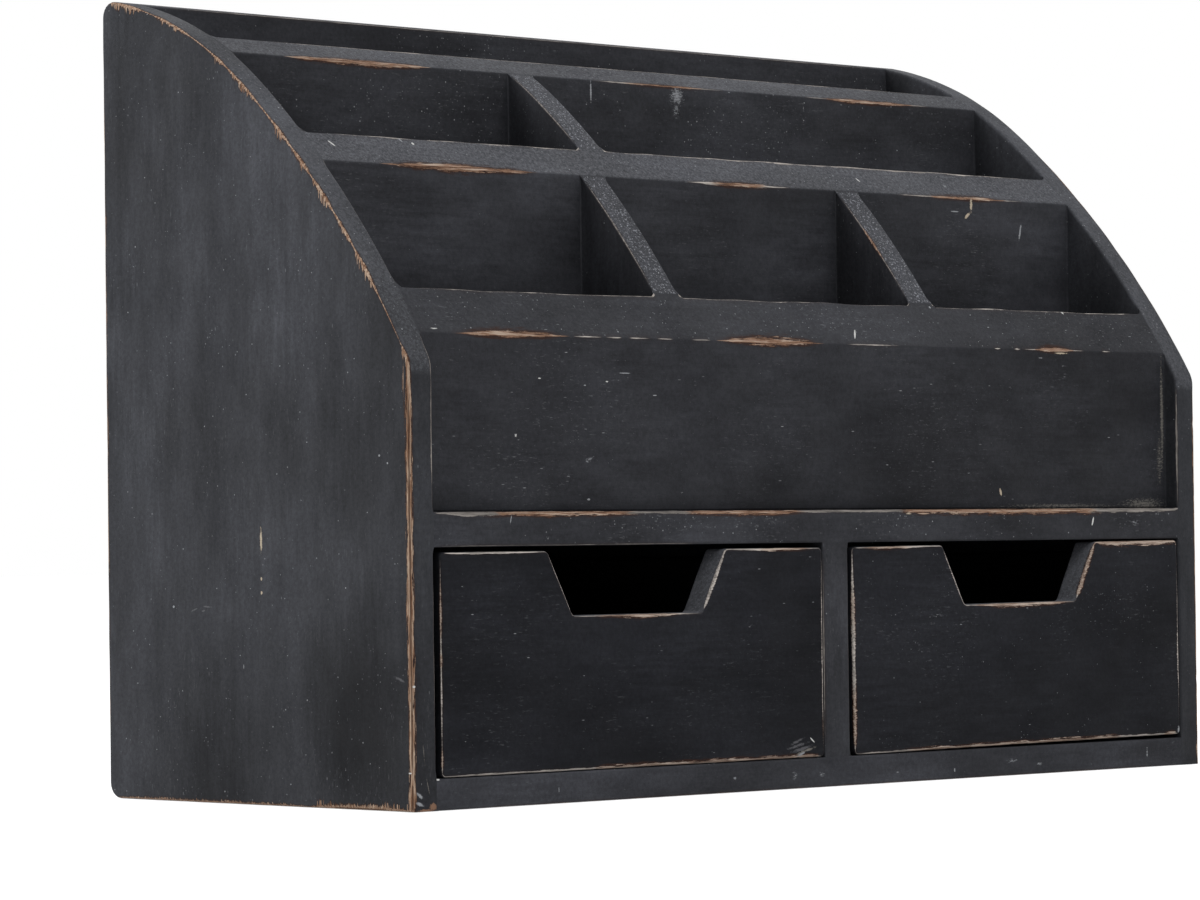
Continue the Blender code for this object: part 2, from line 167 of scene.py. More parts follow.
# Wear of each board's arrises, in stretches (from, to, width) that run along x, y or z with the arris. The
# width is worn on each side of the arris, and is below 0 where a pale line shows instead: partly paint
# thinned by rubbing, partly a painted highlight on the arris.
WEAR = {
    "side_panel_left": {
        "outer curve": [
            (-76, 76, 0.27), (52, 73, 0.75), (36, 50, 0.5), (26, 44, 0.45), (11, 19, 0.6), (-8, 13, 0.5),
            (-22, -9, 0.6), (-31, -20, 0.62), (-42, -29, 0.6), (-51, -40, 0.5), (-63, -49, 0.6),
            (-78, -71, 0.6),
        ],
        "outer front": [(-3, 140, 1.05), (-3, 11, 1.35)],
        "outer foot": [(-77, -24, 1.2), (-30, 75, 0.4)],
        "outer back": [(4, 252, 0.4)],
        "inner front": [(90, 138, -0.75), (12, 78, -0.3)],
        "inner curve": [(-78, -69, -0.7), (-69, 75, -0.3)],
    },
    "side_panel_right": {
        "outer curve": [(-75, 75, 0.5), (-40, 5, 0.9)],
        "outer front": [(-2, 137, 0.8), (-2, 12, 1.4)],
        "outer foot": [(-75, 75, 0.6)],
        "outer back": [(4, 252, 0.5)],
        "inner front": [(90, 137, -0.4)],
    },
    "front_panel": {
        "front": [
            (-163, -112, 0.75), (-155, -124, 0.9), (-112, -98, -0.3), (-97, -90, -0.4), (-88, -77, -0.28),
            (-75, -67, -0.25), (-60, -50, -0.25), (-49, 3, 0.9), (-38, -8, 1.2), (86, 89, -0.4),
            (96, 99, -0.4), (99, 134, -0.4), (105, 129, 0.6), (143, 146, -0.4), (12, 40, -0.3),
        ],
        "back": [(-172, 20, -0.8), (60, 173, -0.8), (15, 65, -0.55)],
    },
    "divider_middle": {
        "front": [
            (-154, -83, 0.9), (-146, -98, 1.25), (-18, 34, -0.7), (-9, 25, 0.7), (84, 154, -0.45),
            (98, 146, 0.6),
        ],
        "back": [(-172, 40, -0.9), (-30, 172, -1.1)],
    },
    "divider_upper": {
        "front": [(-155, -90, 1.1), (-20, 48, -0.45), (-8, 40, 0.45), (84, 154, -0.5), (92, 146, 0.7)],
        "back": [(-172, 172, -0.95)],
    },
    "back_panel": {
        "front": [(-172, 172, -0.2)], "back": [(-172, 172, 0.2), (-140, -30, 0.7), (20, 130, 0.5)],
    },
    "shelf": {
        "front": [
            (-176, 176, -0.65), (-176, -140, -1.1), (-160, -84, 1.1), (-74, -8, 1.05), (31, 180, -1.2),
            (31, 136, 1.15),
        ],
        "low": [(-176, -60, -0.2)],
    },
    "base_panel": {"low": [(-176, 176, 0.12)]},
    "drawer_divider": {"low front": [(10, 80, -0.25)], "high front": [(10, 80, -0.25)]},
    "partition_middle": {"low top": [(-14, 20, -0.3)]},
    "partition_front_left": {"low top": [(-59, -25, -0.3)]},
    "partition_front_right": {"low top": [(-59, -25, -0.3), (-48, -36, 0.4)]},
    "drawer_left_front": {
        "left": [(8, 80, -0.3), (49, 72, 0.35), (42, 49, 0.35), (8, 20, 0.35)],
        "top": [(-178, -125, -0.55), (-56, -3, -0.6), (-40, -8, 0.55)],
        "slant left": [(55, 82, -0.45)],
        "notch": [(-119, -60, -0.6), (-112, -68, 0.7)],
        "slant right": [(55, 82, -0.75)],
        "right": [(8, 80, -0.8), (14, 26, 0.4)],
        "foot": [(-176, -4, -0.55), (-112, -8, 0.7), (-28, -2, 0.8)],
    },
    "drawer_right_front": {
        "left": [(8, 80, -0.8), (42, 70, 0.5), (7, 40, 0.6)],
        "top": [(5, 57, -0.55), (10, 42, 0.5), (123, 182, 1.2)],
        "slant left": [(55, 82, -0.8)],
        "notch": [(62, 122, -0.7), (66, 120, 0.9)],
        "slant right": [(55, 82, 0.8)],
        "right": [(8, 80, -0.6), (24, 54, -1.0)],
        "foot": [(6, 178, -0.6), (28, 68, 0.6), (54, 146, 0.7), (165, 181, 0.8)],
    },
}
# A long stretch keeps its width nearly to its ends, a short one thins out like a lens
LONG_STRETCH = 90
LONG_POWER, SHORT_POWER = 10, 2
# Sanding of the arrises that WEAR leaves out, as their rounding takes it
PLAIN_SANDING = 0.2


def wear_at(name, arris, place):
    """Width worn on each side of an arris, at a place along it, and how far down to the wood, 0 to 1."""
    sanded = rubbed_and_highlight = 0
    for start, end, width in WEAR.get(name, {}).get(arris, ()):
        if start < place < end:
            across = abs(2 * (place - start) / (end - start) - 1)
            worn = width * (1 - across ** (LONG_POWER if end - start > LONG_STRETCH else SHORT_POWER))
            sanded, rubbed_and_highlight = max(sanded, worn), max(rubbed_and_highlight, -worn)
    worn = max(sanded, rubbed_and_highlight)
    return worn, sanded / worn if worn else 0


def sanding_at(name, arris, place):
    """Width of bare wood at a place along an arris."""
    worn, wood = wear_at(name, arris, place)
    return worn * wood


def shown_wear(name, arris, place, radius):
    """The wear of an arris, or none where it is sharp because a board meets it flush."""
    return wear_at(name, arris, place) if radius > 2 * SHARP else (0, 0)


def wander(place, seed, period):
    """Smooth noise along an arris, -1 to 1."""
    return noise.noise(Vector((place / period, seed * 7.3, seed * 1.7)))


def arris_radius(base, place, wear, seed):
    """Rounding of an arris: hand sanding makes it wander, and wear and nicks make it rounder."""
    sanded = base * (1 + 0.3 * wander(place, seed, 14)) + 0.25 * wear
    nick = max(0, wander(place, seed + 3, 2.6) - 0.42) * 1.6
    return max(0.15, sanded + nick * min(1, 0.05 + wear))


def eased(full, share):
    """An arris's radius, from sharp where share is 0 to its full size where it is 1."""
    return SHARP + (full - SHARP) * share


def clear_of(value, spans):
    """0 within any of the spans, 1 where the nearest is as far off as a joint reaches."""
    gap = min((max(low - value, value - high, 0) for low, high in spans), default=FAR)
    return min(1, gap / JOINT_REACH)


# Rubbed, dusty paint and painted light on the narrow faces: how pale, and which sides of an outline have it
DUST_AND_LIGHT = {
    "front_panel": 0.26, "divider_middle": 1.5, "divider_upper": 1.35, "back_panel": 0.7, "shelf": 0.2,
    "side_panel_left": 0.8, "side_panel_right": 0.8, "partition_middle": 0.7,
    "partition_front_left": 0.7, "partition_front_right": 0.7,
    "drawer_left_front": 3.2, "drawer_right_front": 3.2,
}
DUST_AND_LIGHT_TAGS = ("curve", "top", "slant left", "slant right", "notch")
DUST_AND_LIGHT_START, DUST_AND_LIGHT_RUN = -0.5, 1.3


def dust_and_light_at(name, off):
    """Dust and painted light at a distance from an arris, positive on the narrow face."""
    share = max(0, min(1, (off - DUST_AND_LIGHT_START) / DUST_AND_LIGHT_RUN))
    return DUST_AND_LIGHT.get(name, 0) * share * share * (3 - 2 * share)


def flare(distance):
    """Paint fillet: how far a face swells at a distance from the board that it runs into."""
    if distance >= FILLET:
        return 0
    return FILLET - sqrt(FILLET**2 - (FILLET - max(0, distance)) ** 2)


# Meshes from rings of points
PAINTED = "_painted"
ATTRIBUTES = ("along", "off", "wear", "wood", "dust")
SMOOTH_ANGLE = radians(40)


def add_object(name, data):
    """A new object of the scene."""
    thing = bpy.data.objects.new(name, data)
    bpy.context.scene.collection.objects.link(thing)
    return thing


def node_of(piece):
    """The CAD node that a piece stands for."""
    return piece.name.removesuffix(PAINTED)


def loft(name, rings):
    """A closed mesh from rings of (x, y, z, along, off, wear, wood, dust and painted light) points, capped
    at both ends.
    """
    mesh = bpy.data.meshes.new(name)
    count = len(rings[0])
    points = [point for ring in rings for point in ring]
    faces = [tuple(range(count)), tuple(range(len(points) - count, len(points)))]
    for row in range(len(rings) - 1):
        for column in range(count):
            a = row * count + column
            b = row * count + (column + 1) % count
            faces.append((a, b, b + count, a + count))
    mesh.from_pydata([[value * MM for value in point[:3]] for point in points], [], faces)
    for index, label in enumerate(ATTRIBUTES, 3):
        data = mesh.attributes.new(label, "FLOAT", "POINT").data
        data.foreach_set("value", [point[index] for point in points])
    tidy = bmesh.new()
    tidy.from_mesh(mesh)
    bmesh.ops.recalc_face_normals(tidy, faces=tidy.faces)
    tidy.to_mesh(mesh)
    tidy.free()
    mesh.shade_smooth()
    mesh.set_sharp_from_angle(angle=SMOOTH_ANGLE)
    return add_object(name + PAINTED, mesh)


def turn_between(into, out):
    """Turn from one heading to another, -180 to 180 degrees."""
    return (out - into + pi) % (2 * pi) - pi


def turned_corner(corner, into, out, radius, steps):
    """Points of a corner turned in an arc, between two headings, with each point's place along the arc."""
    turn = turn_between(into, out)
    reach = radius * tan(abs(turn) / 2)
    side = copysign(1, turn)
    start = (corner[0] - reach * cos(into), corner[1] - reach * sin(into))
    centre = (start[0] - side * radius * sin(into), start[1] + side * radius * cos(into))
    points = []
    for step in range(steps + 1):
        heading = into + turn * step / steps
        u = centre[0] + side * radius * sin(heading)
        v = centre[1] - side * radius * cos(heading)
        points.append((u, v, radius * abs(turn) * (step / steps - 0.5)))
    return points


def flipped(arc):
    """An arc whose narrow face comes first."""
    return [(u, v, -off) for u, v, off in arc]


# Rails: boards along x, from sections of (y, z, off, arris), where off is the distance from the arris

def tagged(arc, arris):
    return [(*point, arris) for point in arc]


def lead(end, heading, gaps, arris):
    """Points on the flat beyond an arc's end, at gaps from it along a heading."""
    y, z, off = end
    away = copysign(1, off)
    return [(y + heading[0] * gap, z + heading[1] * gap, off + away * gap, arris) for gap in gaps]


def back_corner(start, half, back, foot):
    """The back board's section from its front arris over the rounded back corner down to its foot."""
    centre_y, centre_z, radius, first, last = SIDE_ARCS[-1]
    crown_y = centre_y - radius * sin(first)
    points = []
    for share in CROWN_SHARES:
        y = start + (crown_y - start) * share
        points.append((y, edge_height(y), half + (y - start), "front"))
    for step in range(1, BACK_CORNER_STEPS + 1):
        slope = first + (last - first) * step / BACK_CORNER_STEPS
        off = radius * (slope - (first + last) / 2)
        points.append((centre_y - radius * sin(slope), centre_z + radius * cos(slope), off, "back"))
    return points + [(back, centre_z - BACK_DROP, BACK_OFF, "back"), (back, foot, -FAR, "back")]


def cross_section(front, back, foot, front_radius, back_radius):
    """Section of a cross board from its front foot over the top to its back foot."""
    points = [(front + inward, foot + up, -FAR, "front") for inward, up in CREVICE]
    corner = (front, edge_height(front))
    arc = turned_corner(corner, UPRIGHT_ANGLE, edge_slope(front), front_radius, ARC_STEPS)
    points += lead(arc[0], (0, -1), reversed(FACE_SUPPORTS), "front") + tagged(arc, "front")
    start, half = arc[-1][0], arc[-1][2]
    if back_radius is None:
        return points + back_corner(start, half, back, foot)
    corner = (back, edge_height(back))
    arc = flipped(turned_corner(corner, edge_slope(back), -UPRIGHT_ANGLE, back_radius, ARC_STEPS))
    end, end_half = arc[0][0], arc[0][2]
    middle = (start + end) / 2
    top = [(start + gap, half + gap, "front") for gap in SUPPORTS]
    top.append((middle, half + (middle - start), "front"))
    top += [(end - gap, end_half + gap, "back") for gap in reversed(SUPPORTS)]
    points += [(y, edge_height(y), off, arris) for y, off, arris in top] + tagged(arc, "back")
    return points + lead(arc[-1], (0, -1), FACE_SUPPORTS, "back") + [(back, foot, -FAR, "back")]


def level_section(low_z, high_z, low_radius, high_radius):
    """Section of a level board: its two front arrises eased, its back hidden behind the drawers."""
    low = flipped(turned_corner((FRONT_Y, low_z), pi, UPRIGHT_ANGLE, low_radius, ARC_STEPS))
    high = turned_corner((FRONT_Y, high_z), UPRIGHT_ANGLE, 0, high_radius, ARC_STEPS)
    low_end = (low[0][0], low_z, low[0][2])
    points = [(BACK_FACE_Y, low_z, FAR, "low"), (0, low_z, MIDWAY, "low")]
    points += lead(low_end, (1, 0), reversed(FACE_SUPPORTS), "low") + tagged(low, "low")
    points += lead(low[-1], (0, 1), SUPPORTS, "low")
    points += lead(high[0], (0, -1), reversed(SUPPORTS), "front") + tagged(high, "front")
    points += lead(high[-1], (1, 0), FACE_SUPPORTS, "front")
    return points + [(0, high_z, MIDWAY, "front"), (BACK_FACE_Y, high_z, FAR, "front")]


def stations(joints):
    """Places along x for a rail's sections, closer together by its ends and by the boards that meet it."""
    end = INNER_X + LAP
    places = {-end, end}
    count = round(2 * end / SPACING)
    places.update(-end + 2 * end * step / count for step in range(count + 1))
    for joint in (-INNER_X, *joints, INNER_X):
        for gap in JOINT_SUPPORTS:
            places.update((joint - gap, joint + gap))
    return sorted(place for place in places if -end <= place <= end)


ARRIS_SEEDS = {"front": 5, "back": 4, "low": 3}


def rail(name, section, joints, base_radius, seed):
    """A board along x, whose arrises wander and are sharp along the spans where another board is flush."""
    edges = [edge for spans in joints.values() for span in spans for edge in span]
    ends = [(-INNER_X, -INNER_X), (INNER_X, INNER_X)]
    rings = []
    for x in stations(edges):
        radii = {}
        for arris, spans in joints.items():
            full = arris_radius(base_radius, x, sanding_at(name, arris, x), seed + ARRIS_SEEDS[arris])
            radii[arris] = eased(full, clear_of(x, spans + ends))
        ring = []
        for y, z, off, arris in section(radii, flare(INNER_X - abs(x))):
            worn = shown_wear(name, arris, x, radii[arris])
            ring.append((x, y, z, x, off, *worn, dust_and_light_at(name, off)))
        rings.append(ring)
    return loft(name, rings)


def cross_board(name, front, foot, joints, seed):
    back = front + BOARD_THICKNESS

    def section(radii, swell):
        if front == BACK_FACE_Y:
            return cross_section(front - swell, back, foot, radii["front"], None)
        return cross_section(front - swell, back + swell, foot, radii["front"], radii["back"])
    return rail(name, section, joints, BOARD_ROUNDING, seed)


def level_board(name, low_z, high_z, low_share, high_share, joints, seed):
    def section(radii, swell):
        return level_section(low_z, high_z, radii["low"] * low_share, radii["front"] * high_share)
    return rail(name, section, joints, LEVEL_ROUNDING, seed)


# Plates: boards from an outline ring(inset) of (u, v, tag) points, and a thickness

def spread(start, end, count, tag):
    """Points from start up to, not including, end."""
    return [
        (start[0] + (end[0] - start[0]) * step / count, start[1] + (end[1] - start[1]) * step / count, tag)
        for step in range(count)
    ]


def steps_for(length):
    return max(2, round(length / SPACING))


def side_ring(inset):
    """A side panel's outline in (y, z), from the middle of the foot to the front and round."""
    corner = (FRONT_Y + inset, inset)
    points = spread((0, inset), corner, steps_for(DEPTH / 2), "foot")
    knee_z = SIDE_ARCS[0][1]
    points += spread(corner, (FRONT_Y + inset, knee_z), steps_for(knee_z), "front")
    for centre_y, centre_z, radius, first, last in SIDE_ARCS:
        count = max(ROUND_STEPS, steps_for(radius * (first - last)))
        for step in range(count):
            slope = first + (last - first) * step / count
            y = centre_y - (radius - inset) * sin(slope)
            points.append((y, centre_z + (radius - inset) * cos(slope), "curve"))
    back_top = (BACK_Y - inset, SIDE_ARCS[-1][1])
    points += spread(back_top, (BACK_Y - inset, BACK_CORNER_RADIUS), steps_for(back_top[1]), "back")
    inner = BACK_CORNER_RADIUS - inset
    for step in range(ROUND_STEPS):
        turn = UPRIGHT_ANGLE * step / ROUND_STEPS
        y = BACK_Y - BACK_CORNER_RADIUS + inner * cos(turn)
        points.append((y, BACK_CORNER_RADIUS - inner * sin(turn), "back"))
    return points + spread((BACK_Y - BACK_CORNER_RADIUS, inset), (0, inset), steps_for(DEPTH / 2), "foot")


def partition_ring(front, back):
    """A partition's outline in (y, z): upright ends under the shared curve."""
    across = steps_for(back - front)
    up_front, up_back = (steps_for(edge_height(y) - SHELF_TOP) // 2 for y in (front, back))

    def ring(inset):
        y0, y1 = front + inset, back - inset
        foot = SHELF_TOP - LAP + inset
        points = spread((y1, foot), (y0, foot), across, "hidden")
        points += spread((y0, foot), (y0, edge_height(y0, inset)), up_front, "hidden")
        for step in range(2 * across):
            y = y0 + (y1 - y0) * step / (2 * across)
            points.append((y, edge_height(y, inset), "top"))
        return points + spread((y1, edge_height(y1, inset)), (y1, foot), up_back, "hidden")
    return ring


def box_ring(low, high, tags):
    """A rectangle's outline, low and high its corners, tags naming its low, right, high and left sides."""
    across, up = (steps_for(high[index] - low[index]) for index in (0, 1))

    def ring(inset):
        u0, v0, u1, v1 = low[0] + inset, low[1] + inset, high[0] - inset, high[1] - inset
        corners = ((u0, v0), (u1, v0), (u1, v1), (u0, v1), (u0, v0))
        sides = zip(corners, corners[1:], (across, up, across, up), tags)
        return [point for side in sides for point in spread(*side)]
    return ring


def inset_corner(before, corner, after, inset):
    """An outline corner moved in by inset from both its edges, with the headings of the two edges."""
    into = atan2(corner[1] - before[1], corner[0] - before[0])
    out = atan2(after[1] - corner[1], after[0] - corner[0])
    turn = turn_between(into, out)
    bisector = into + turn / 2 + UPRIGHT_ANGLE
    move = inset / cos(turn / 2)
    place = (corner[0] + move * cos(bisector), corner[1] + move * sin(bisector))
    return place, into, out, turn


def drawer_front_ring(left, right, foot, height, tilt):
    """A drawer front's outline in (x, z), with its finger notch, tilted about its low left corner."""
    half = (right - left) / 2
    top_half, bottom_half = NOTCH_TOP_WIDTH / 2, NOTCH_BOTTOM_WIDTH / 2
    floor = height - NOTCH_DEPTH
    outer, inner = DRAWER_CORNER_RADIUS, NOTCH_CORNER_RADIUS
    corners = (
        (-half, 0, outer, "foot"), (half, 0, outer, "right"), (half, height, outer, "top"),
        (top_half, height, inner, "slant right"), (bottom_half, floor, inner, "notch"),
        (-bottom_half, floor, inner, "slant left"), (-top_half, height, inner, "top"),
        (-half, height, outer, "left"),
    )

    def ring(inset):
        arcs = []
        for before, corner, after in zip(corners[-1:] + corners[:-1], corners, corners[1:] + corners[:1]):
            place, into, out, turn = inset_corner(before, corner, after, inset)
            radius = max(0.02, corner[2] - inset) if turn > 0 else corner[2] + inset
            arc = turned_corner(place, into, out, radius, CORNER_STEPS)
            arcs.append((arc, corner[3], dist(corner[:2], after[:2])))
        points = []
        for (arc, tag, length), following in zip(arcs, arcs[1:] + arcs[:1]):
            points += [(u, v, tag) for u, v, off in arc[:-1]]
            points += spread(arc[-1][:2], following[0][0][:2], steps_for(length), tag)
        cosine, sine = cos(tilt), sin(tilt)
        return [
            (left + (u + half) * cosine - v * sine, foot + (u + half) * sine + v * cosine, tag)
            for u, v, tag in points
        ]
    return ring


def profile(radius, thickness):
    """From a face's flat to the middle of the edge: (inset, depth below the face, off)."""
    half = radius * pi / 4
    points = [(inset, 0, inset - radius + half) for inset in (4.5, 2.8, radius + 0.9, radius + 0.3)]
    for step in range(ARC_STEPS + 1):
        turn = UPRIGHT_ANGLE * step / ARC_STEPS
        points.append((radius * (1 - sin(turn)), radius * (1 - cos(turn)), half - radius * turn))
    for depth in (radius + 0.3, radius + 0.9, thickness / 2):
        points.append((0, depth, -half - (depth - radius)))
    return points


UPRIGHT_TAGS = ("front", "back", "left", "right", "slant left", "slant right")


def face_tag(name, face, tag):
    """The label that WEAR uses for an arris of a plate."""
    if name.startswith("side_panel"):
        outer = "low" if name.endswith("left") else "high"
        return ("outer " if face == outer else "inner ") + tag
    if name.endswith(("left_front", "right_front")):
        return tag if face == "low" else "behind"
    return f"{face} {tag}"


def plate(name, ring, low, high, axis, rounding, shift=None):
    """A board with an outline, its thickness from low to high along an axis (0 x, 1 y, 2 z).

    rounding(face, tag, place, u, v) is the radius of an arris, and shift(u, v) swells the faces.
    """
    table = [ring(inset) for inset in INSETS]
    base = table[0]
    along = [0]
    for here, there in zip(base, base[1:]):
        along.append(along[-1] + dist(here[:2], there[:2]))

    def track(index, inset):
        """A point of the outline moved in, between the rings that were made."""
        for before, after, first, second in zip(INSETS, INSETS[1:], table, table[1:]):
            if inset <= after:
                share = (inset - before) / (after - before)
                return [a + (b - a) * share for a, b in zip(first[index][:2], second[index][:2])]
        return table[-1][index][:2]

    sides = []
    for face, level, sign in (("low", low, 1), ("high", high, -1)):
        columns = []
        for index, (u, v, tag) in enumerate(base):
            place = v if tag in UPRIGHT_TAGS else u
            radius = rounding(face, tag, place, u, v)
            worn = shown_wear(name, face_tag(name, face, tag), place, radius)
            column = []
            for inset, depth, off in profile(radius, high - low):
                a, b = track(index, inset)
                swell = shift(a, b) * max(0, 1 - depth / FADE_DEPTH) if shift else 0
                w = level + sign * (depth - swell)
                x, y, z = ((w, a, b), (a, w, b), (a, b, w))[axis]
                dust = dust_and_light_at(name, -off) if tag in DUST_AND_LIGHT_TAGS else 0
                column.append((x, y, z, along[index], off, *worn, dust))
            columns.append(column)
        sides.append([list(row) for row in zip(*columns)])
    return loft(name, sides[0] + sides[1][-2::-1])


# The boards. The last number of a row or call seeds the wander of its arrises.
FLUSH_LEVELS = [(-1, BASE_THICKNESS), (SHELF_BOTTOM, SHELF_TOP)]


def side_rounding(name, seed):
    flush_curve = [(y, y + BOARD_THICKNESS) for y in CROSS_BOARDS.values()]

    def rounding(face, tag, place, u, v):
        label = face_tag(name, face, tag)
        full = arris_radius(SIDE_ROUNDING, u + v, sanding_at(name, label, place), seed + (face == "high"))
        if label == "inner curve":
            return eased(full, clear_of(place, flush_curve))
        if label == "inner front":
            return eased(full, clear_of(place, FLUSH_LEVELS))
        if label == "outer foot" and face == "high" and u < 0:
            return full + WORN_FOOT
        if label == "inner back" or label == "inner foot" and place > FRONT_Y + EASED_FOOT:
            return SHARP
        return full
    return rounding


def edge_rounding(base, edge, seed, spans=(), name=None):
    """Rounding of a plate of which one side shows, sharp along the spans where other boards meet it."""
    def rounding(face, tag, place, u, v):
        if tag != edge:
            return SHARP
        wear = sanding_at(name, f"{face} {edge}", place) if name else PLAIN_SANDING
        full = arris_radius(base, place, wear, seed + (face == "high"))
        return eased(full, clear_of(place, spans))
    return rounding


def build_sides():
    pieces = []
    for name, low, seed in (("side_panel_left", -OUTER_X, 1), ("side_panel_right", INNER_X, 5)):
        pieces.append(plate(name, side_ring, low, low + SIDE_THICKNESS, 0, side_rounding(name, seed)))
    return pieces


def build_cross_boards():
    half = BOARD_THICKNESS / 2
    front_row = [(x - half, x + half) for x in (-FRONT_PARTITION_X, FRONT_PARTITION_X)]
    middle_row = [(MIDDLE_PARTITION_X - half, MIDDLE_PARTITION_X + half)]
    joints = (
        {"front": [], "back": front_row}, {"front": front_row, "back": middle_row},
        {"front": middle_row, "back": []}, {"front": [], "back": []},
    )
    pieces = []
    for count, (name, front) in enumerate(CROSS_BOARDS.items()):
        foot = 0 if name == "back_panel" else SHELF_TOP - LAP
        pieces.append(cross_board(name, front, foot, joints[count], 11 + 4 * count))
    return pieces


def build_level_boards():
    bay = [(DIVIDER_LEFT, DIVIDER_RIGHT)]
    return [
        level_board("shelf", SHELF_BOTTOM, SHELF_TOP, 0.9, 1.5, {"front": [], "low": bay}, 31),
        level_board("base_panel", 0, BASE_THICKNESS, 0.6, 0.7, {"front": bay, "low": []}, 37),
    ]


def build_partitions():
    rows = (
        ("partition_front_left", -FRONT_PARTITION_X, "front_panel", "divider_middle", 41),
        ("partition_front_right", FRONT_PARTITION_X, "front_panel", "divider_middle", 44),
        ("partition_middle", MIDDLE_PARTITION_X, "divider_middle", "divider_upper", 47),
    )
    pieces = []
    for name, x, before, behind, seed in rows:
        front = CROSS_BOARDS[before] + BOARD_THICKNESS - LAP
        back = CROSS_BOARDS[behind] + LAP

        def shift(u, v):
            return flare(min(u - front, back - u))

        rounding = edge_rounding(BOARD_ROUNDING, "top", seed, ((front, front), (back, back)), name)
        low = x - BOARD_THICKNESS / 2
        ring = partition_ring(front, back)
        pieces.append(plate(name, ring, low, low + BOARD_THICKNESS, 0, rounding, shift))
    return pieces


def build_drawer_divider():
    rounding = edge_rounding(BOARD_ROUNDING, "front", 51, FLUSH_LEVELS)
    low, high = (FRONT_Y, BASE_THICKNESS - LAP), (BACK_FACE_Y, SHELF_BOTTOM + LAP)
    ring = box_ring(low, high, ("hidden", "hidden", "hidden", "front"))
    return plate("drawer_divider", ring, DIVIDER_LEFT, DIVIDER_RIGHT, 0, rounding)


def build_drawer(name, left, right, tilt, seed):
    """The five boards of a drawer: its front first, then the sides, the back and the bottom."""
    foot = BASE_THICKNESS + JOINT_GAP
    height = BAY_HEIGHT - JOINT_GAP - DRAWER_TOP_CLEARANCE
    side_top = foot + height - BOX_SIDE_DROP
    back_y = BACK_FACE_Y - JOINT_GAP
    front_y = FRONT_Y + DRAWER_FRONT_THICKNESS

    def front_rounding(face, tag, place, u, v):
        wear = sanding_at(name + "_front", tag, place) if face == "low" else PLAIN_SANDING
        return arris_radius(DRAWER_ROUNDING, u + 2 * v, wear, seed + (face == "high"))

    box_rounding = edge_rounding(DRAWER_ROUNDING, "top", seed + 5)
    tags = ("hidden", "hidden", "top", "hidden")
    ring = drawer_front_ring(left, right, foot, height, tilt)
    pieces = [plate(name + "_front", ring, FRONT_Y, front_y, 1, front_rounding)]
    for hand, low in (("left", left), ("right", right - BOX_THICKNESS)):
        ring = box_ring((front_y - LAP, foot), (back_y, side_top), tags)
        pieces.append(plate(f"{name}_side_{hand}", ring, low, low + BOX_THICKNESS, 0, box_rounding))
    inward = BOX_THICKNESS - LAP
    ring = box_ring((left + inward, foot + BOX_BACK_LIFT), (right - inward, side_top), tags)
    pieces.append(plate(name + "_back", ring, back_y - BOX_THICKNESS, back_y, 1, box_rounding))
    grip = GROOVE_DEPTH - JOINT_GAP
    inward = BOX_THICKNESS - grip
    ring = box_ring((left + inward, front_y - grip), (right - inward, back_y), ("hidden",) * 4)
    low, high = foot + BOX_BOTTOM_LIFT + JOINT_GAP, foot + BOX_BACK_LIFT + LAP
    pieces.append(plate(name + "_bottom", ring, low, high, 2, box_rounding))
    return pieces


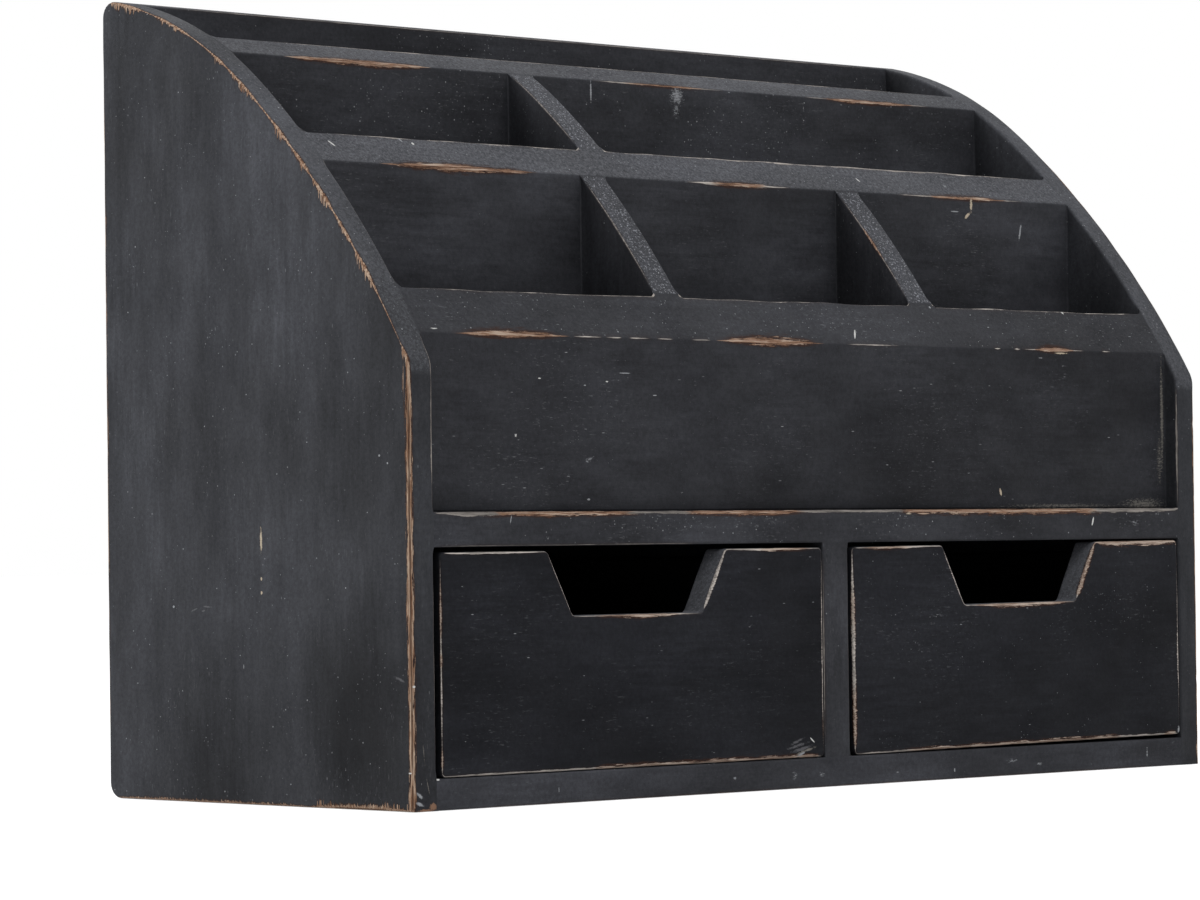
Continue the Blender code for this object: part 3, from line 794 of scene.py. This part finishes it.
class Nodes:
    """Small helper that writes the node tree of a material or a world."""

    def __init__(self, owner, shader="Principled BSDF"):
        owner.use_nodes = True
        self.owner = owner
        self.tree = owner.node_tree
        self.shader = self.tree.nodes[shader]

    def add(self, kind, inputs=(), **settings):
        node = self.tree.nodes.new("ShaderNode" + kind)
        for key, value in settings.items():
            setattr(node, key, value)
        self.feed(node, inputs)
        return node

    def feed(self, node, inputs):
        """Give a node's inputs their values or their links."""
        for key, value in dict(inputs).items():
            if isinstance(value, bpy.types.NodeSocket):
                self.tree.links.new(value, node.inputs[key])
            else:
                node.inputs[key].default_value = value

    def math(self, operation, *values):
        return self.add("Math", enumerate(values), operation=operation).outputs[0]

    times = partialmethod(math, "MULTIPLY")
    plus = partialmethod(math, "ADD")
    minus = partialmethod(math, "SUBTRACT")
    times_plus = partialmethod(math, "MULTIPLY_ADD")
    larger = partialmethod(math, "MAXIMUM")

    def vector(self, operation, a, b):
        return self.add("VectorMath", {0: a, 1: b}, operation=operation).outputs[0]

    def scale(self, vector, factor):
        return self.add("VectorMath", {0: vector, "Scale": factor}, operation="SCALE").outputs[0]

    def ramp(self, value, low, high, to_low=0.0, to_high=1.0):
        """value taken smoothly from low..high to to_low..to_high."""
        inputs = {"Value": value, "From Min": low, "From Max": high, "To Min": to_low, "To Max": to_high}
        return self.add("MapRange", inputs, interpolation_type="SMOOTHSTEP").outputs["Result"]

    def noise(self, vector, scale=1.0, detail=2.0, rough=0.5):
        inputs = {"Vector": vector, "Scale": scale, "Detail": detail, "Roughness": rough}
        return self.add("TexNoise", inputs).outputs["Fac"]

    def cells(self, vector, scale):
        """Distance to the nearest of scattered points, and three random values of that point."""
        node = self.add("TexVoronoi", {"Vector": vector, "Scale": scale})
        values = self.add("SeparateColor", {"Color": node.outputs["Color"]}).outputs
        return node.outputs["Distance"], (values[0], values[1], values[2])

    def stretched(self, vector, axis, share):
        """Coordinates in which a texture is drawn out along an axis."""
        scales = [1.0, 1.0, 1.0]
        scales[axis] = share
        return self.vector("MULTIPLY", vector, tuple(scales))

    def reach(self, vector, centre, sizes, axis="Y", turn=0):
        """Distance from a point in units of the half sizes of an ellipsoid, turned about an axis."""
        away = self.vector("SUBTRACT", vector, centre)
        if turn:
            inputs = {"Vector": away, "Angle": radians(turn)}
            away = self.add("VectorRotate", inputs, rotation_type=axis + "_AXIS").outputs[0]
        unit = self.vector("DIVIDE", away, sizes)
        return self.add("VectorMath", {0: unit}, operation="LENGTH").outputs["Value"]

    def mix(self, share, a, b):
        return self.add("Mix", {0: share, 6: a, 7: b}, data_type="RGBA").outputs[2]

    def attribute(self, name):
        return self.add("Attribute", attribute_name=name).outputs["Fac"]

    def combine(self, x, y, z):
        return self.add("CombineXYZ", {0: x, 1: y, 2: z}).outputs[0]

    def seen_directly(self):
        """1 for the camera, for reflections and through glass, 0 where a backdrop only lights the object."""
        path = self.add("LightPath").outputs
        seen = self.larger(path["Is Camera Ray"], path["Is Glossy Ray"])
        return self.larger(seen, path["Is Transmission Ray"])


BARE_WOOD = (0.25, 0.145, 0.095, 1)
PALE_WOOD = (0.50, 0.39, 0.31, 1)
DARK_WOOD = (0.062, 0.032, 0.021, 1)
RIM = (0.034, 0.0145, 0.009, 1)
# Pale grey along the arrises: partly paint thinned by rubbing, partly a painted highlight
RUBBED_AND_HIGHLIGHT = (0.25, 0.228, 0.21)
SPECK = (0.36, 0.37, 0.39, 1)
# Pale grey added on the narrow faces: partly a dusty coat, partly painted light
DUST_AND_LIGHT_COLOUR = (0.034, 0.035, 0.0385)
# Kinds of specks: along the grain or round, scale, range of sizes, smallest size, share that is kept
SPECK_KINDS = (
    (False, 0.4, 0.1, 0.045, 0.3), (False, 0.95, 0.18, 0.09, 0.6), (True, 0.8, 0.1, 0.055, 0.45),
)


def worn_masks(n, grain, fine_grain, seed, nicks, splits, rim_reach):
    """Masks from the arris attributes: worn, its dark rim, wood streaks, a split arris, down to the wood."""
    along, off, wear, wood = (n.attribute(label) for label in ("along", "off", "wear", "wood"))
    sanded = n.times(wear, wood)
    distance = n.math("ABSOLUTE", off)
    run = n.combine(n.times(along, 0.09), seed, 0)
    slow = n.ramp(n.noise(run, 1, 3), 0.3, 0.7, 0.7, 1.1)
    ragged = n.times(n.minus(n.noise(grain, 2.0, 5, 0.75), 0.5), 4.0)
    ragged = n.times(ragged, n.ramp(sanded, 0.0, 0.5, 0.5, 1.0))
    width = n.times(wear, n.plus(slow, ragged))
    spikes = n.ramp(n.noise(fine_grain, 1.5, 3, 0.6), 0.5, 0.62, 0.0, nicks)
    spikes = n.times(spikes, n.ramp(sanded, 0.25, 0.6))
    spikes = n.times(spikes, n.ramp(off, -0.1, 0.1, 0.1, 1.0))
    spikes = n.times(spikes, n.ramp(wear, 0.85, 1.0, 1.0, 1.0 - 0.85 * splits))
    width = n.plus(width, spikes)
    spare = n.minus(n.minus(width, 0.02), distance)
    bare = n.ramp(spare, 0.0, 0.12)
    streaks = n.noise(fine_grain, 1.7, 5, 0.75)
    ring = n.times(n.ramp(spare, -rim_reach, -0.08), n.ramp(sanded, 0.15, 0.6, 0.15, 0.9))
    dashes = n.times(n.ramp(spare, -1.2, -0.4), n.ramp(streaks, 0.56, 0.64, 0.0, 0.8))
    rim = n.larger(ring, n.times(dashes, n.ramp(sanded, 0.4, 0.8)))
    rim = n.times(rim, n.ramp(wear, 0.03, 0.12))
    wobble = n.minus(n.noise(n.combine(n.times(along, 0.05), seed + 5, 0), 1, 3), 0.5)
    beside = n.math("ABSOLUTE", n.times_plus(wobble, 0.7, off))
    split = n.times(n.ramp(beside, 0.34, 0.2), n.ramp(wear, 0.9, 1.0, 0.0, splits))
    woody = n.ramp(n.times_plus(n.minus(streaks, 0.5), 1.5, wood), 0.5, 0.8)
    return bare, rim, streaks, split, woody


def paint_tone(n, place, grain, grain_axis, brush, painted_shading, scaled):
    """How light the black paint is: slow clouds, patches, brush streaks along the grain, a fine mottle, and
    painted light and shade in soft spots.
    """
    clouds = n.ramp(n.noise(n.stretched(place, grain_axis, 0.5), 0.018, 4, 0.6), 0.3, 0.7, 0.6, 1.42)
    patches = n.ramp(n.noise(n.stretched(place, grain_axis, 0.35), 0.08, 5, 0.7), 0.3, 0.7, 0.84, 1.2)
    streaks = n.minus(n.noise(grain, 0.5, 7, 0.8), 0.5)
    strength = n.ramp(n.noise(n.vector("ADD", place, (91.0, 17.0, 43.0)), 0.035, 2), 0.35, 0.65, 0.35, 1.7)
    strokes = n.times_plus(n.times(streaks, strength), brush, 1.0)
    mottle = n.ramp(n.noise(place, 0.7, 5, 0.8), 0.3, 0.7, 0.82, 1.22)
    tone = n.times(n.times(clouds, patches), n.times(strokes, mottle))
    # Painted light and shade: soft spots that lighten or darken the paint
    for centre, sizes, factor in painted_shading:
        tone = n.times(tone, n.ramp(n.reach(scaled, centre, sizes), 0.1, 1.0, factor, 1.0))
    return tone, streaks, mottle


def specks(n, place, dash_place, amount, dusted, scaled, clusters):
    """Small pale dots of mixed size and short dashes along the grain in loose clusters, and faint scuffs."""
    loose = n.ramp(n.noise(place, 0.05, 3, 0.7), 0.5, 0.64, 0.06, 1.0)
    narrow = n.ramp(n.attribute("dust"), 0.0, 0.3)
    gathered = n.times(narrow, dusted)
    for centre, sizes, dense in clusters:
        gathered = n.larger(gathered, n.ramp(n.reach(scaled, centre, sizes), 0.2, 1.0, dense, 0.0))
    scuffed = n.ramp(n.noise(n.vector("ADD", place, (5.0, 71.0, 29.0)), 0.028, 3, 0.6), 0.5, 0.64)
    scuffs = n.ramp(n.noise(dash_place, 1.6, 4, 0.7), 0.58, 0.72)
    share = n.times(scuffs, n.times_plus(scuffed, 0.14, n.times(gathered, 0.3)))
    for dashed, scale, size_range, smallest, kept in SPECK_KINDS:
        distance, (chance, size, pale) = n.cells(dash_place if dashed else place, scale)
        reach = n.times_plus(n.math("POWER", size, 3.0), size_range, smallest)
        inside = n.ramp(n.minus(reach, distance), 0.0, 0.05)
        limit = n.plus(gathered, n.times(kept * amount, loose))
        shown = n.times(inside, n.math("LESS_THAN", chance, limit))
        strength = n.times_plus(n.math("POWER", pale, 3.0), 0.7, 0.1)
        shown = n.times(shown, n.times_plus(narrow, 0.26, strength))
        share = n.larger(share, shown)
    return share


def draw_marks(n, scaled, grit_place, base, marks):
    """Scuffs, scratches and painted shade over a colour, each an ellipsoid whose rim is broken up by grit.
    """
    if not marks:
        return base
    grit = n.times(n.noise(grit_place, 1.9, 4, 0.8), 0.6)
    for centre, sizes, colour, fill, *turning in marks:
        length = n.reach(scaled, centre, sizes, *turning)
        soft = n.math("SQRT", n.larger(n.minus(1.0, length), 0.0))
        share = n.ramp(n.times_plus(soft, fill, grit), 0.60, 0.74)
        base = n.mix(share, base, colour)
    return base


def painted(
    name, colour, grain_axis, seed, rough, marks=(), painted_shading=(), clusters=(), brush=0.8, nicks=0.4, splits=0.0,
    rim_reach=1.0, sheen=0.08, specked=1.0, wood_tint=(1.0, 1.0, 1.0), streaked=0.045, greyed=0.0,
    rubbed_and_highlight_tone=1.0, stippled=1.0, glints=0.6, dusted=0.2,
):
    """Black painted wood with grain along an axis, worn where the mesh says so, and with painted light and
    shade.
    """
    n = Nodes(bpy.data.materials.new(name))
    scaled = n.scale(n.add("TexCoord").outputs["Object"], 1 / MM)
    place = n.vector("ADD", scaled, (seed * 37.0, seed * 11.0, seed * 53.0))
    grain, fine_grain, dash_place = (n.stretched(place, grain_axis, share) for share in (0.09, 0.045, 0.22))
    tone, streaks, mottle = paint_tone(n, place, grain, grain_axis, brush, painted_shading, scaled)
    stipple = n.ramp(n.noise(place, 0.9, 5, 0.85), 0.38, 0.66, 1 - 0.7 * stippled, 1 + 0.85 * stippled)
    stipple = n.plus(stipple, n.ramp(n.noise(place, 1.5, 2, 0.5), 0.58, 0.68, 0.0, glints))
    # The narrow faces made lighter: a dusty coat and painted light, in a pale stipple
    paint = n.vector("ADD", n.scale(colour, tone), n.scale(DUST_AND_LIGHT_COLOUR, n.times(stipple, n.attribute("dust"))))
    paint = n.mix(specks(n, place, dash_place, specked, dusted, scaled, clusters), paint, SPECK)
    bare, rim, wood_streaks, split, woody = worn_masks(n, grain, fine_grain, seed, nicks, splits, rim_reach)
    wood = n.mix(n.ramp(wood_streaks, 0.44 + streaked, 0.58 + streaked), BARE_WOOD, PALE_WOOD)
    wood = n.mix(n.ramp(wood_streaks, 0.42 + streaked, 0.36 + streaked), wood, DARK_WOOD)
    wood = n.vector("MULTIPLY", wood, wood_tint)
    # Paint thinned by rubbing and a painted highlight along the arrises: pale grey where the wood does not
    # show
    rubbed_and_highlight = n.scale(RUBBED_AND_HIGHLIGHT, n.ramp(wood_streaks, 0.38, 0.62, 0.5 * rubbed_and_highlight_tone, 1.35 * rubbed_and_highlight_tone))
    wood = n.mix(n.times(woody, 1.0 - greyed), rubbed_and_highlight, wood)
    wood = n.mix(split, wood, DARK_WOOD)
    base = n.mix(bare, n.mix(rim, paint, RIM), wood)
    base = draw_marks(n, scaled, n.stretched(place, grain_axis, 0.4), base, marks)
    roughness = n.ramp(n.noise(place, 0.05, 3), 0.3, 0.7, rough - 0.06, rough + 0.08)
    height = n.times_plus(bare, -0.5, n.times_plus(streaks, 1.5, mottle))
    bump = n.add("Bump", {"Height": height, "Strength": 0.5, "Distance": 0.0001}).outputs[0]
    n.feed(n.shader, {"Base Color": base, "Roughness": n.times_plus(bare, 0.15, roughness)})
    n.feed(n.shader, {"Specular IOR Level": sheen, "Normal": bump})
    return n.owner


SCRATCH = (0.50, 0.42, 0.32, 1)
CHALK = (0.30, 0.31, 0.33, 1)
# Dark grey for grime, and for painted shade in the front panel's corner and along its foot
GRIME_AND_SHADE = (0.17, 0.16, 0.145, 1)
HAZE = (0.1, 0.1, 0.108, 1)
WHITE = (0.62, 0.62, 0.61, 1)


def marks_on(axis, level, rows, depth=3):
    """Marks on the faces at one level of X or Y.

    Rows are the place along the face, z, half width, half height, colour, fill, where about 0.6 is solid and
    0.4 a stipple, and for some a turn about the axis in degrees.
    """
    marks = []
    for place, z, wide, high, colour, fill, *turn in rows:
        if axis == "X":
            marks.append(((level, place, z), (depth, wide, high), colour, fill, axis, *turn))
        else:
            marks.append(((place, level, z), (wide, depth, high), colour, fill, axis, *turn))
    return marks


# Looks: marks, some of them painted shade, soft spots of painted light and shade that make the paint lighter
# or darker (centre, half sizes, factor), and clusters where specks gather (centre, half sizes, share of the
# places that hold one)
MARK_Y = -75
SIDE_LOOK = {
    "brush": 0.7, "nicks": 1.6, "splits": 0.75, "wood_tint": (0.98, 0.95, 0.9), "streaked": 0.01,
    "rim_reach": 0.6, "dusted": 0.4,
}
LEFT_LOOK = {
    "marks": marks_on("X", -OUTER_X, (
        (-4, 83, 0.9, 6.6, SCRATCH, 0.52), (-4, 71, 0.6, 0.9, SCRATCH, 0.6),
        (-4, 66.6, 0.6, 0.8, SCRATCH, 0.6), (29.9, 61.2, 3.9, 0.5, HAZE, 0.5, 17),
        (23.2, 62.2, 3.4, 0.5, HAZE, 0.54, -3), (25.2, 60.9, 1.9, 0.5, HAZE, 0.5, 13),
        (-69.6, 40.2, 4.8, 0.9, HAZE, 0.48, -19), (-73.8, 11.8, 0.7, 0.3, WHITE, 0.8),
        (40.4, 62.2, 0.6, 0.45, CHALK, 0.9), (-61.2, 108.4, 0.5, 0.4, CHALK, 0.9),
        (-65, 106, 0.4, 0.4, CHALK, 0.8),
    )) + marks_on("Y", MARK_Y, (
        (-184.3, 38, 0.6, 0.45, WHITE, 0.9), (-180.7, 17.5, 0.25, 6.5, GRIME_AND_SHADE, 0.42, 6),
        (-179.2, 7.8, 0.28, 4.2, GRIME_AND_SHADE, 0.48, 14), (-182.5, 4.9, 1, 3, CHALK, 0.5, 54),
        (-182.4, 2.3, 0.9, 2.6, CHALK, 0.5, 70), (-177.2, 1.3, 2.3, 1.8, BARE_WOOD, 0.56),
        (-180.5, 0.3, 5.5, 0.8, BARE_WOOD, 0.52),
    )),
    # Painted light and shade on the side: lighter high in the middle, darker towards the front, the foot and
    # the top back
    "painted_shading": (
        ((-185.4, -48, 28), (60, 42, 52), 0.36), ((-185.4, -58, 105), (60, 26, 45), 0.72),
        ((-185.4, 2, 180), (60, 47, 74), 1.65), ((-185.4, 20, 40), (60, 95, 62), 0.88),
        ((-185.4, 10, 15), (60, 46, 50), 0.56), ((-185.4, 62, 235), (60, 22, 40), 0.66),
    ),
}
# Painted shade: the right side darker towards its front
RIGHT_LOOK = {"painted_shading": (((180, -64, 60), (60, 60, 150), 0.56),)}
BOARD_LOOK = {"rubbed_and_highlight_tone": 1.1, "specked": 1.2}
BOARD_LOOKS = {
    "front_panel": {
        # Painted shade towards the panel's left end
        "tone": 0.78, "rubbed_and_highlight_tone": 1.7, "painted_shading": (((-150, -69, 120), (90, 40, 60), 0.84),),
        "clusters": (
            ((-112, -69, 124), (46, 6, 24), 0.6), ((-134, -69, 104), (34, 6, 20), 0.6),
            ((10, -64, 155), (80, 12, 8), 0.6), ((60, -69, 118), (50, 6, 30), 0.4),
        ),
        # Painted shade: the first two marks darken the right corner, where the panel meets the right side
        "marks": marks_on("Y", -69.4, (
            (174.2, 124, 1.6, 34, GRIME_AND_SHADE, 0.46), (172.6, 108, 3.4, 20, GRIME_AND_SHADE, 0.38),
        ), 4) + marks_on("Y", -69.4, (
            (88.3, 96.8, 0.7, 1.8, SCRATCH, 0.7, 16), (-126, 132.6, 0.9, 0.3, WHITE, 0.6),
            (-89, 134.8, 3.4, 0.22, CHALK, 0.7), (-97, 132, 0.8, 0.3, WHITE, 0.6),
            (-106.6, 130.7, 0.6, 0.25, CHALK, 0.7), (-76, 127.9, 1.3, 0.3, CHALK, 0.6),
            (-136.3, 114.7, 1.0, 1.3, WHITE, 0.42), (-105, 107.3, 4.2, 1.6, CHALK, 0.4, 25),
            # Painted shade along the panel's foot on the shelf: the two wide dark marks at the end of this
            # line and the start of the next
            (-105.5, 94.7, 0.8, 0.4, CHALK, 0.8), (163, 92.4, 24, 4.4, GRIME_AND_SHADE, 0.42),
            (120, 91.9, 70, 2, GRIME_AND_SHADE, 0.4), (120.6, 145.0, 5.6, 0.5, SCRATCH, 0.52),
            (110, 143.2, 2, 0.3, CHALK, 0.5), (122, 140.6, 3, 0.4, CHALK, 0.38),
        )) + marks_on("Y", -67, ((19.4, 149.6, 0.4, 2.7, WHITE, 0.8, -35),), 3.4)
        + marks_on("Y", -68.6, ((-168.8, 147.3, 2.6, 0.4, WHITE, 0.46),))
        + marks_on("Y", -59.9, (
            (64.1, 160, 0.5, 0.45, CHALK, 0.9), (132.1, 159.9, 0.4, 1.0, WHITE, 0.8, 33),
        )),
    },
    "divider_middle": {
        "tone": 1.05, "rubbed_and_highlight_tone": 1.7,
        "clusters": (((-60, -20, 205), (110, 9, 9), 0.25), ((125, -25, 185), (40, 6, 26), 0.3)),
        "marks": marks_on("Y", -24.8, (
            (124.4, 199.4, 1.1, 3.8, SCRATCH, 0.52), (122.3, 195.6, 0.9, 2.8, SCRATCH, 0.56, -48),
            (150.2, 190.6, 0.8, 4.6, CHALK, 0.56, -12), (115.8, 196.8, 3.2, 0.32, CHALK, 0.6),
        )) + marks_on("Y", -18.7, ((-167.1, 207.7, 0.4, 1.5, WHITE, 0.9, 40),))
        + marks_on("Y", -15.8, ((-136, 210.4, 0.4, 1.0, CHALK, 0.8, 40),))
        + marks_on("Y", -16.9, ((-131.6, 209.4, 0.6, 0.5, WHITE, 0.9),))
        + marks_on("Y", -20, ((71.2, 206.3, 0.4, 1.2, WHITE, 0.7, 30),))
        + marks_on("Y", -20.5, ((115.4, 206, 1.8, 1.2, CHALK, 0.42),)),
    },
    "divider_upper": {
        "rubbed_and_highlight_tone": 1.5,
        "clusters": (
            ((-90, 20, 228), (56, 6, 22), 0.4), ((60, 20, 228), (80, 6, 20), 0.3),
            ((0, 26, 240), (120, 8, 8), 0.4),
        ),
        "marks": marks_on("Y", 19.8, (
            (22.5, 236, 6.5, 7, CHALK, 0.42), (22, 231, 3.5, 6, CHALK, 0.38),
            (-18.5, 235.2, 0.55, 5, CHALK, 0.6), (85.5, 235, 0.5, 3, CHALK, 0.4),
        )),
    },
    "shelf": {
        # Painted shade towards the right end of the shelf's front
        "rubbed_and_highlight_tone": 0.95, "painted_shading": (((130, -75, 86), (100, 40, 40), 0.8),),
        "clusters": (
            ((-66, -75, 88), (62, 8, 8), 0.7), ((30, -75, 86), (32, 8, 7), 0.6),
            ((150, -75, 86), (14, 8, 6), 0.6),
        ),
        "marks": marks_on("Y", MARK_Y, (
            (129.7, 86.5, 0.45, 2.0, WHITE, 0.8, -18), (-143.9, 88.3, 0.35, 2.6, CHALK, 0.5, -12),
            (36, 89.6, 2.6, 0.7, SCRATCH, 0.46), (152, 86, 5, 2.4, CHALK, 0.37),
        )),
    },
    "base_panel": {
        "tone": 1.38,
        "marks": marks_on("Y", MARK_Y, (
            (-175.1, 9.6, 0.9, 0.5, WHITE, 0.9), (-125, 4.2, 0.3, 1.6, CHALK, 0.5),
            (-47.7, 4.6, 1.6, 1.3, CHALK, 0.4), (-20, 4.6, 3, 3.6, CHALK, 0.38),
            (-7.4, 4.2, 3.4, 2, CHALK, 0.37), (29, 3.4, 1.6, 1, CHALK, 0.39),
            (57, 3, 0.5, 0.9, CHALK, 0.6), (86, 5, 7, 1.7, CHALK, 0.37),
            (100, 3.4, 3.4, 1.2, CHALK, 0.38), (157, 5, 0.7, 3.4, CHALK, 0.46),
        )),
    },
}
PARTITION_LOOK = {"dusted": 0.8, "glints": 9.0}
DRAWER_LOOK = {
    "brush": 1.1, "sheen": 0.05, "specked": 0.9, "greyed": 0.3, "rubbed_and_highlight_tone": 1.9, "stippled": 0.4,
    "streaked": 0.0, "rim_reach": 0.7,
}
LEFT_DRAWER_LOOK = {
    # Painted light over the right half of the drawer front
    "painted_shading": (((-40, -75, 36), (60, 30, 45), 1.3),),
    "clusters": (
        ((-150, -75, 56), (28, 8, 24), 0.3), ((-146, -75, 28), (34, 8, 20), 0.3),
        ((-40, -75, 34), (32, 8, 30), 0.25),
    ),
    "marks": marks_on("Y", FRONT_Y, (
        (-18.6, 15.4, 7, 0.9, HAZE, 0.45, 16), (-18.6, 14, 9, 0.9, HAZE, 0.48, 11),
        (-16.4, 12.9, 8.5, 0.9, HAZE, 0.52, 11), (-14.8, 12.2, 7.5, 0.8, GRIME_AND_SHADE, 0.5, 14),
        (-16.7, 11.2, 5, 0.8, CHALK, 0.46, 21), (-19.5, 9.4, 4.5, 0.8, GRIME_AND_SHADE, 0.5, 24),
        (-11.6, 15.6, 0.3, 1.6, WHITE, 0.8, 50),
    )),
}
RIGHT_DRAWER_LOOK = {
    "clusters": (((45, -75, 50), (28, 8, 18), 0.2), ((140, -75, 54), (26, 8, 18), 0.2)),
    "marks": marks_on("Y", FRONT_Y, ((174.6, 12.4, 1.6, 2.4, CHALK, 0.55),)),
}
SIDE_COLOUR = (0.036, 0.0375, 0.043)
BOARD_COLOUR = (0.029, 0.030, 0.035)
PARTITION_COLOUR = (0.0315, 0.0325, 0.0375)
DRAWER_COLOUR = (0.0115, 0.0121, 0.0148)
BOX_COLOUR = (0.017, 0.017, 0.019)
BOARD_ROUGHNESS, FRONT_ROUGHNESS, BOX_ROUGHNESS = 0.6, 0.55, 0.65


def dress(piece, body, slot, colour, grain_axis, seed, rough, tone=1, **look):
    """Paint a piece, tie it to its body, and hide the CAD node that it stands for."""
    colour = [value * tone for value in colour]
    piece.data.materials.append(painted(piece.name, colour, grain_axis, seed, rough, **look))
    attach(piece, body)
    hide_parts(node_of(piece))


def build_carcass():
    for seed, (piece, look) in enumerate(zip(build_sides(), (LEFT_LOOK, RIGHT_LOOK)), 1):
        dress(piece, "carcass", "side_paint", SIDE_COLOUR, 2, seed, BOARD_ROUGHNESS, **SIDE_LOOK, **look)
    for seed, piece in enumerate(build_cross_boards() + build_level_boards(), 3):
        look = {**BOARD_LOOK, **BOARD_LOOKS.get(node_of(piece), {})}
        dress(piece, "carcass", "board_paint", BOARD_COLOUR, 0, seed, BOARD_ROUGHNESS, **look)
    for seed, piece in enumerate([*build_partitions(), build_drawer_divider()], 11):
        tone = 0.98 if node_of(piece) == "drawer_divider" else 1.12
        look = {"tone": tone, **PARTITION_LOOK}
        dress(piece, "carcass", "board_paint", PARTITION_COLOUR, 2, seed, BOARD_ROUGHNESS, **look)


def build_drawers():
    rows = (
        ("drawer_left", LEFT_DRAWER_LEFT, LEFT_DRAWER_RIGHT, 0, LEFT_DRAWER_LOOK, 61),
        ("drawer_right", RIGHT_DRAWER_LEFT, RIGHT_DRAWER_RIGHT, RIGHT_FRONT_TILT, RIGHT_DRAWER_LOOK, 71),
    )
    for name, left, right, tilt, look, seed in rows:
        front, *box = build_drawer(name, left, right, tilt, seed)
        dress(front, name, "drawer_paint", DRAWER_COLOUR, 0, seed, FRONT_ROUGHNESS, **DRAWER_LOOK, **look)
        for count, piece in enumerate(box, 1):
            grain_axis = 1 if "side" in piece.name else 0
            dress(piece, name, "drawer_box_paint", BOX_COLOUR, grain_axis, seed + count, BOX_ROUGHNESS)


# Studio, in metres and watts: the photograph's view with a long lens, pale floor, soft light
CAMERA_PLACE = (-1.146, -1.177, 0.080)
CAMERA_YAW, CAMERA_PITCH, CAMERA_ROLL = radians(43.35), radians(1.14), radians(-0.70)
CAMERA_LENS, CAMERA_SENSOR = 144.6, 36
# Name, place, target, size, power
LIGHTS = (
    ("left", (-1.1, 0.55, 0.75), (-0.18, 0.02, 0.16), (0.7, 0.7), 9),
    ("top_front", (0.1, -1.3, 1.5), (0, 0, 0.12), (1.5, 1.0), 19),
)
AMBIENT = 0.32
WHITE_LIGHT = (1, 1, 1, 1)
FLOOR_REACH, FLOOR_DROP, FLOOR_GLOW = 12, 0.0002, 0.72
FLOOR_COLOUR = (0.86, 0.86, 0.86, 1)


def add_camera():
    data = bpy.data.cameras.new("camera")
    data.sensor_width = CAMERA_SENSOR
    data.lens = CAMERA_LENS
    camera = add_object("camera", data)
    turns = ((-CAMERA_YAW, "Z"), (UPRIGHT_ANGLE + CAMERA_PITCH, "X"), (CAMERA_ROLL, "Z"))
    camera.matrix_world = Matrix.Translation(CAMERA_PLACE)
    for angle, axis in turns:
        camera.matrix_world @= Matrix.Rotation(angle, 4, axis)
    bpy.context.scene.camera = camera


def add_area_light(name, place, target, size, power):
    data = bpy.data.lights.new(name, "AREA")
    data.shape = "RECTANGLE"
    data.size, data.size_y = size
    data.energy = power
    light = add_object(name, data)
    light.location = place
    light.rotation_euler = (Vector(target) - Vector(place)).to_track_quat("-Z", "Y").to_euler()


def add_world():
    world = bpy.data.worlds.new("studio")
    bpy.context.scene.world = world
    n = Nodes(world, "Background")
    strength = n.add("MapRange", {"Value": n.seen_directly(), "To Min": AMBIENT, "To Max": 1.0})
    n.feed(n.shader, {"Color": WHITE_LIGHT, "Strength": strength.outputs[0]})


def add_floor():
    mesh = bpy.data.meshes.new("floor")
    corners = ((-1, -1), (1, -1), (1, 1), (-1, 1))
    mesh.from_pydata([(x * FLOOR_REACH, y * FLOOR_REACH, 0) for x, y in corners], [], [(0, 1, 2, 3)])
    floor = add_object("floor", mesh)
    floor.location.z = -FLOOR_DROP
    n = Nodes(bpy.data.materials.new("floor"))
    n.feed(n.shader, {"Base Color": FLOOR_COLOUR, "Roughness": 0.9, "Specular IOR Level": 0.1})
    glow = n.times(n.seen_directly(), FLOOR_GLOW)
    n.feed(n.shader, {"Emission Color": WHITE_LIGHT, "Emission Strength": glow})
    mesh.materials.append(n.owner)


def main():
    add_camera()
    add_world()
    add_floor()
    for light in LIGHTS:
        add_area_light(*light)
    build_carcass()
    build_drawers()
    bpy.context.scene.view_settings.view_transform = "Standard"


main()
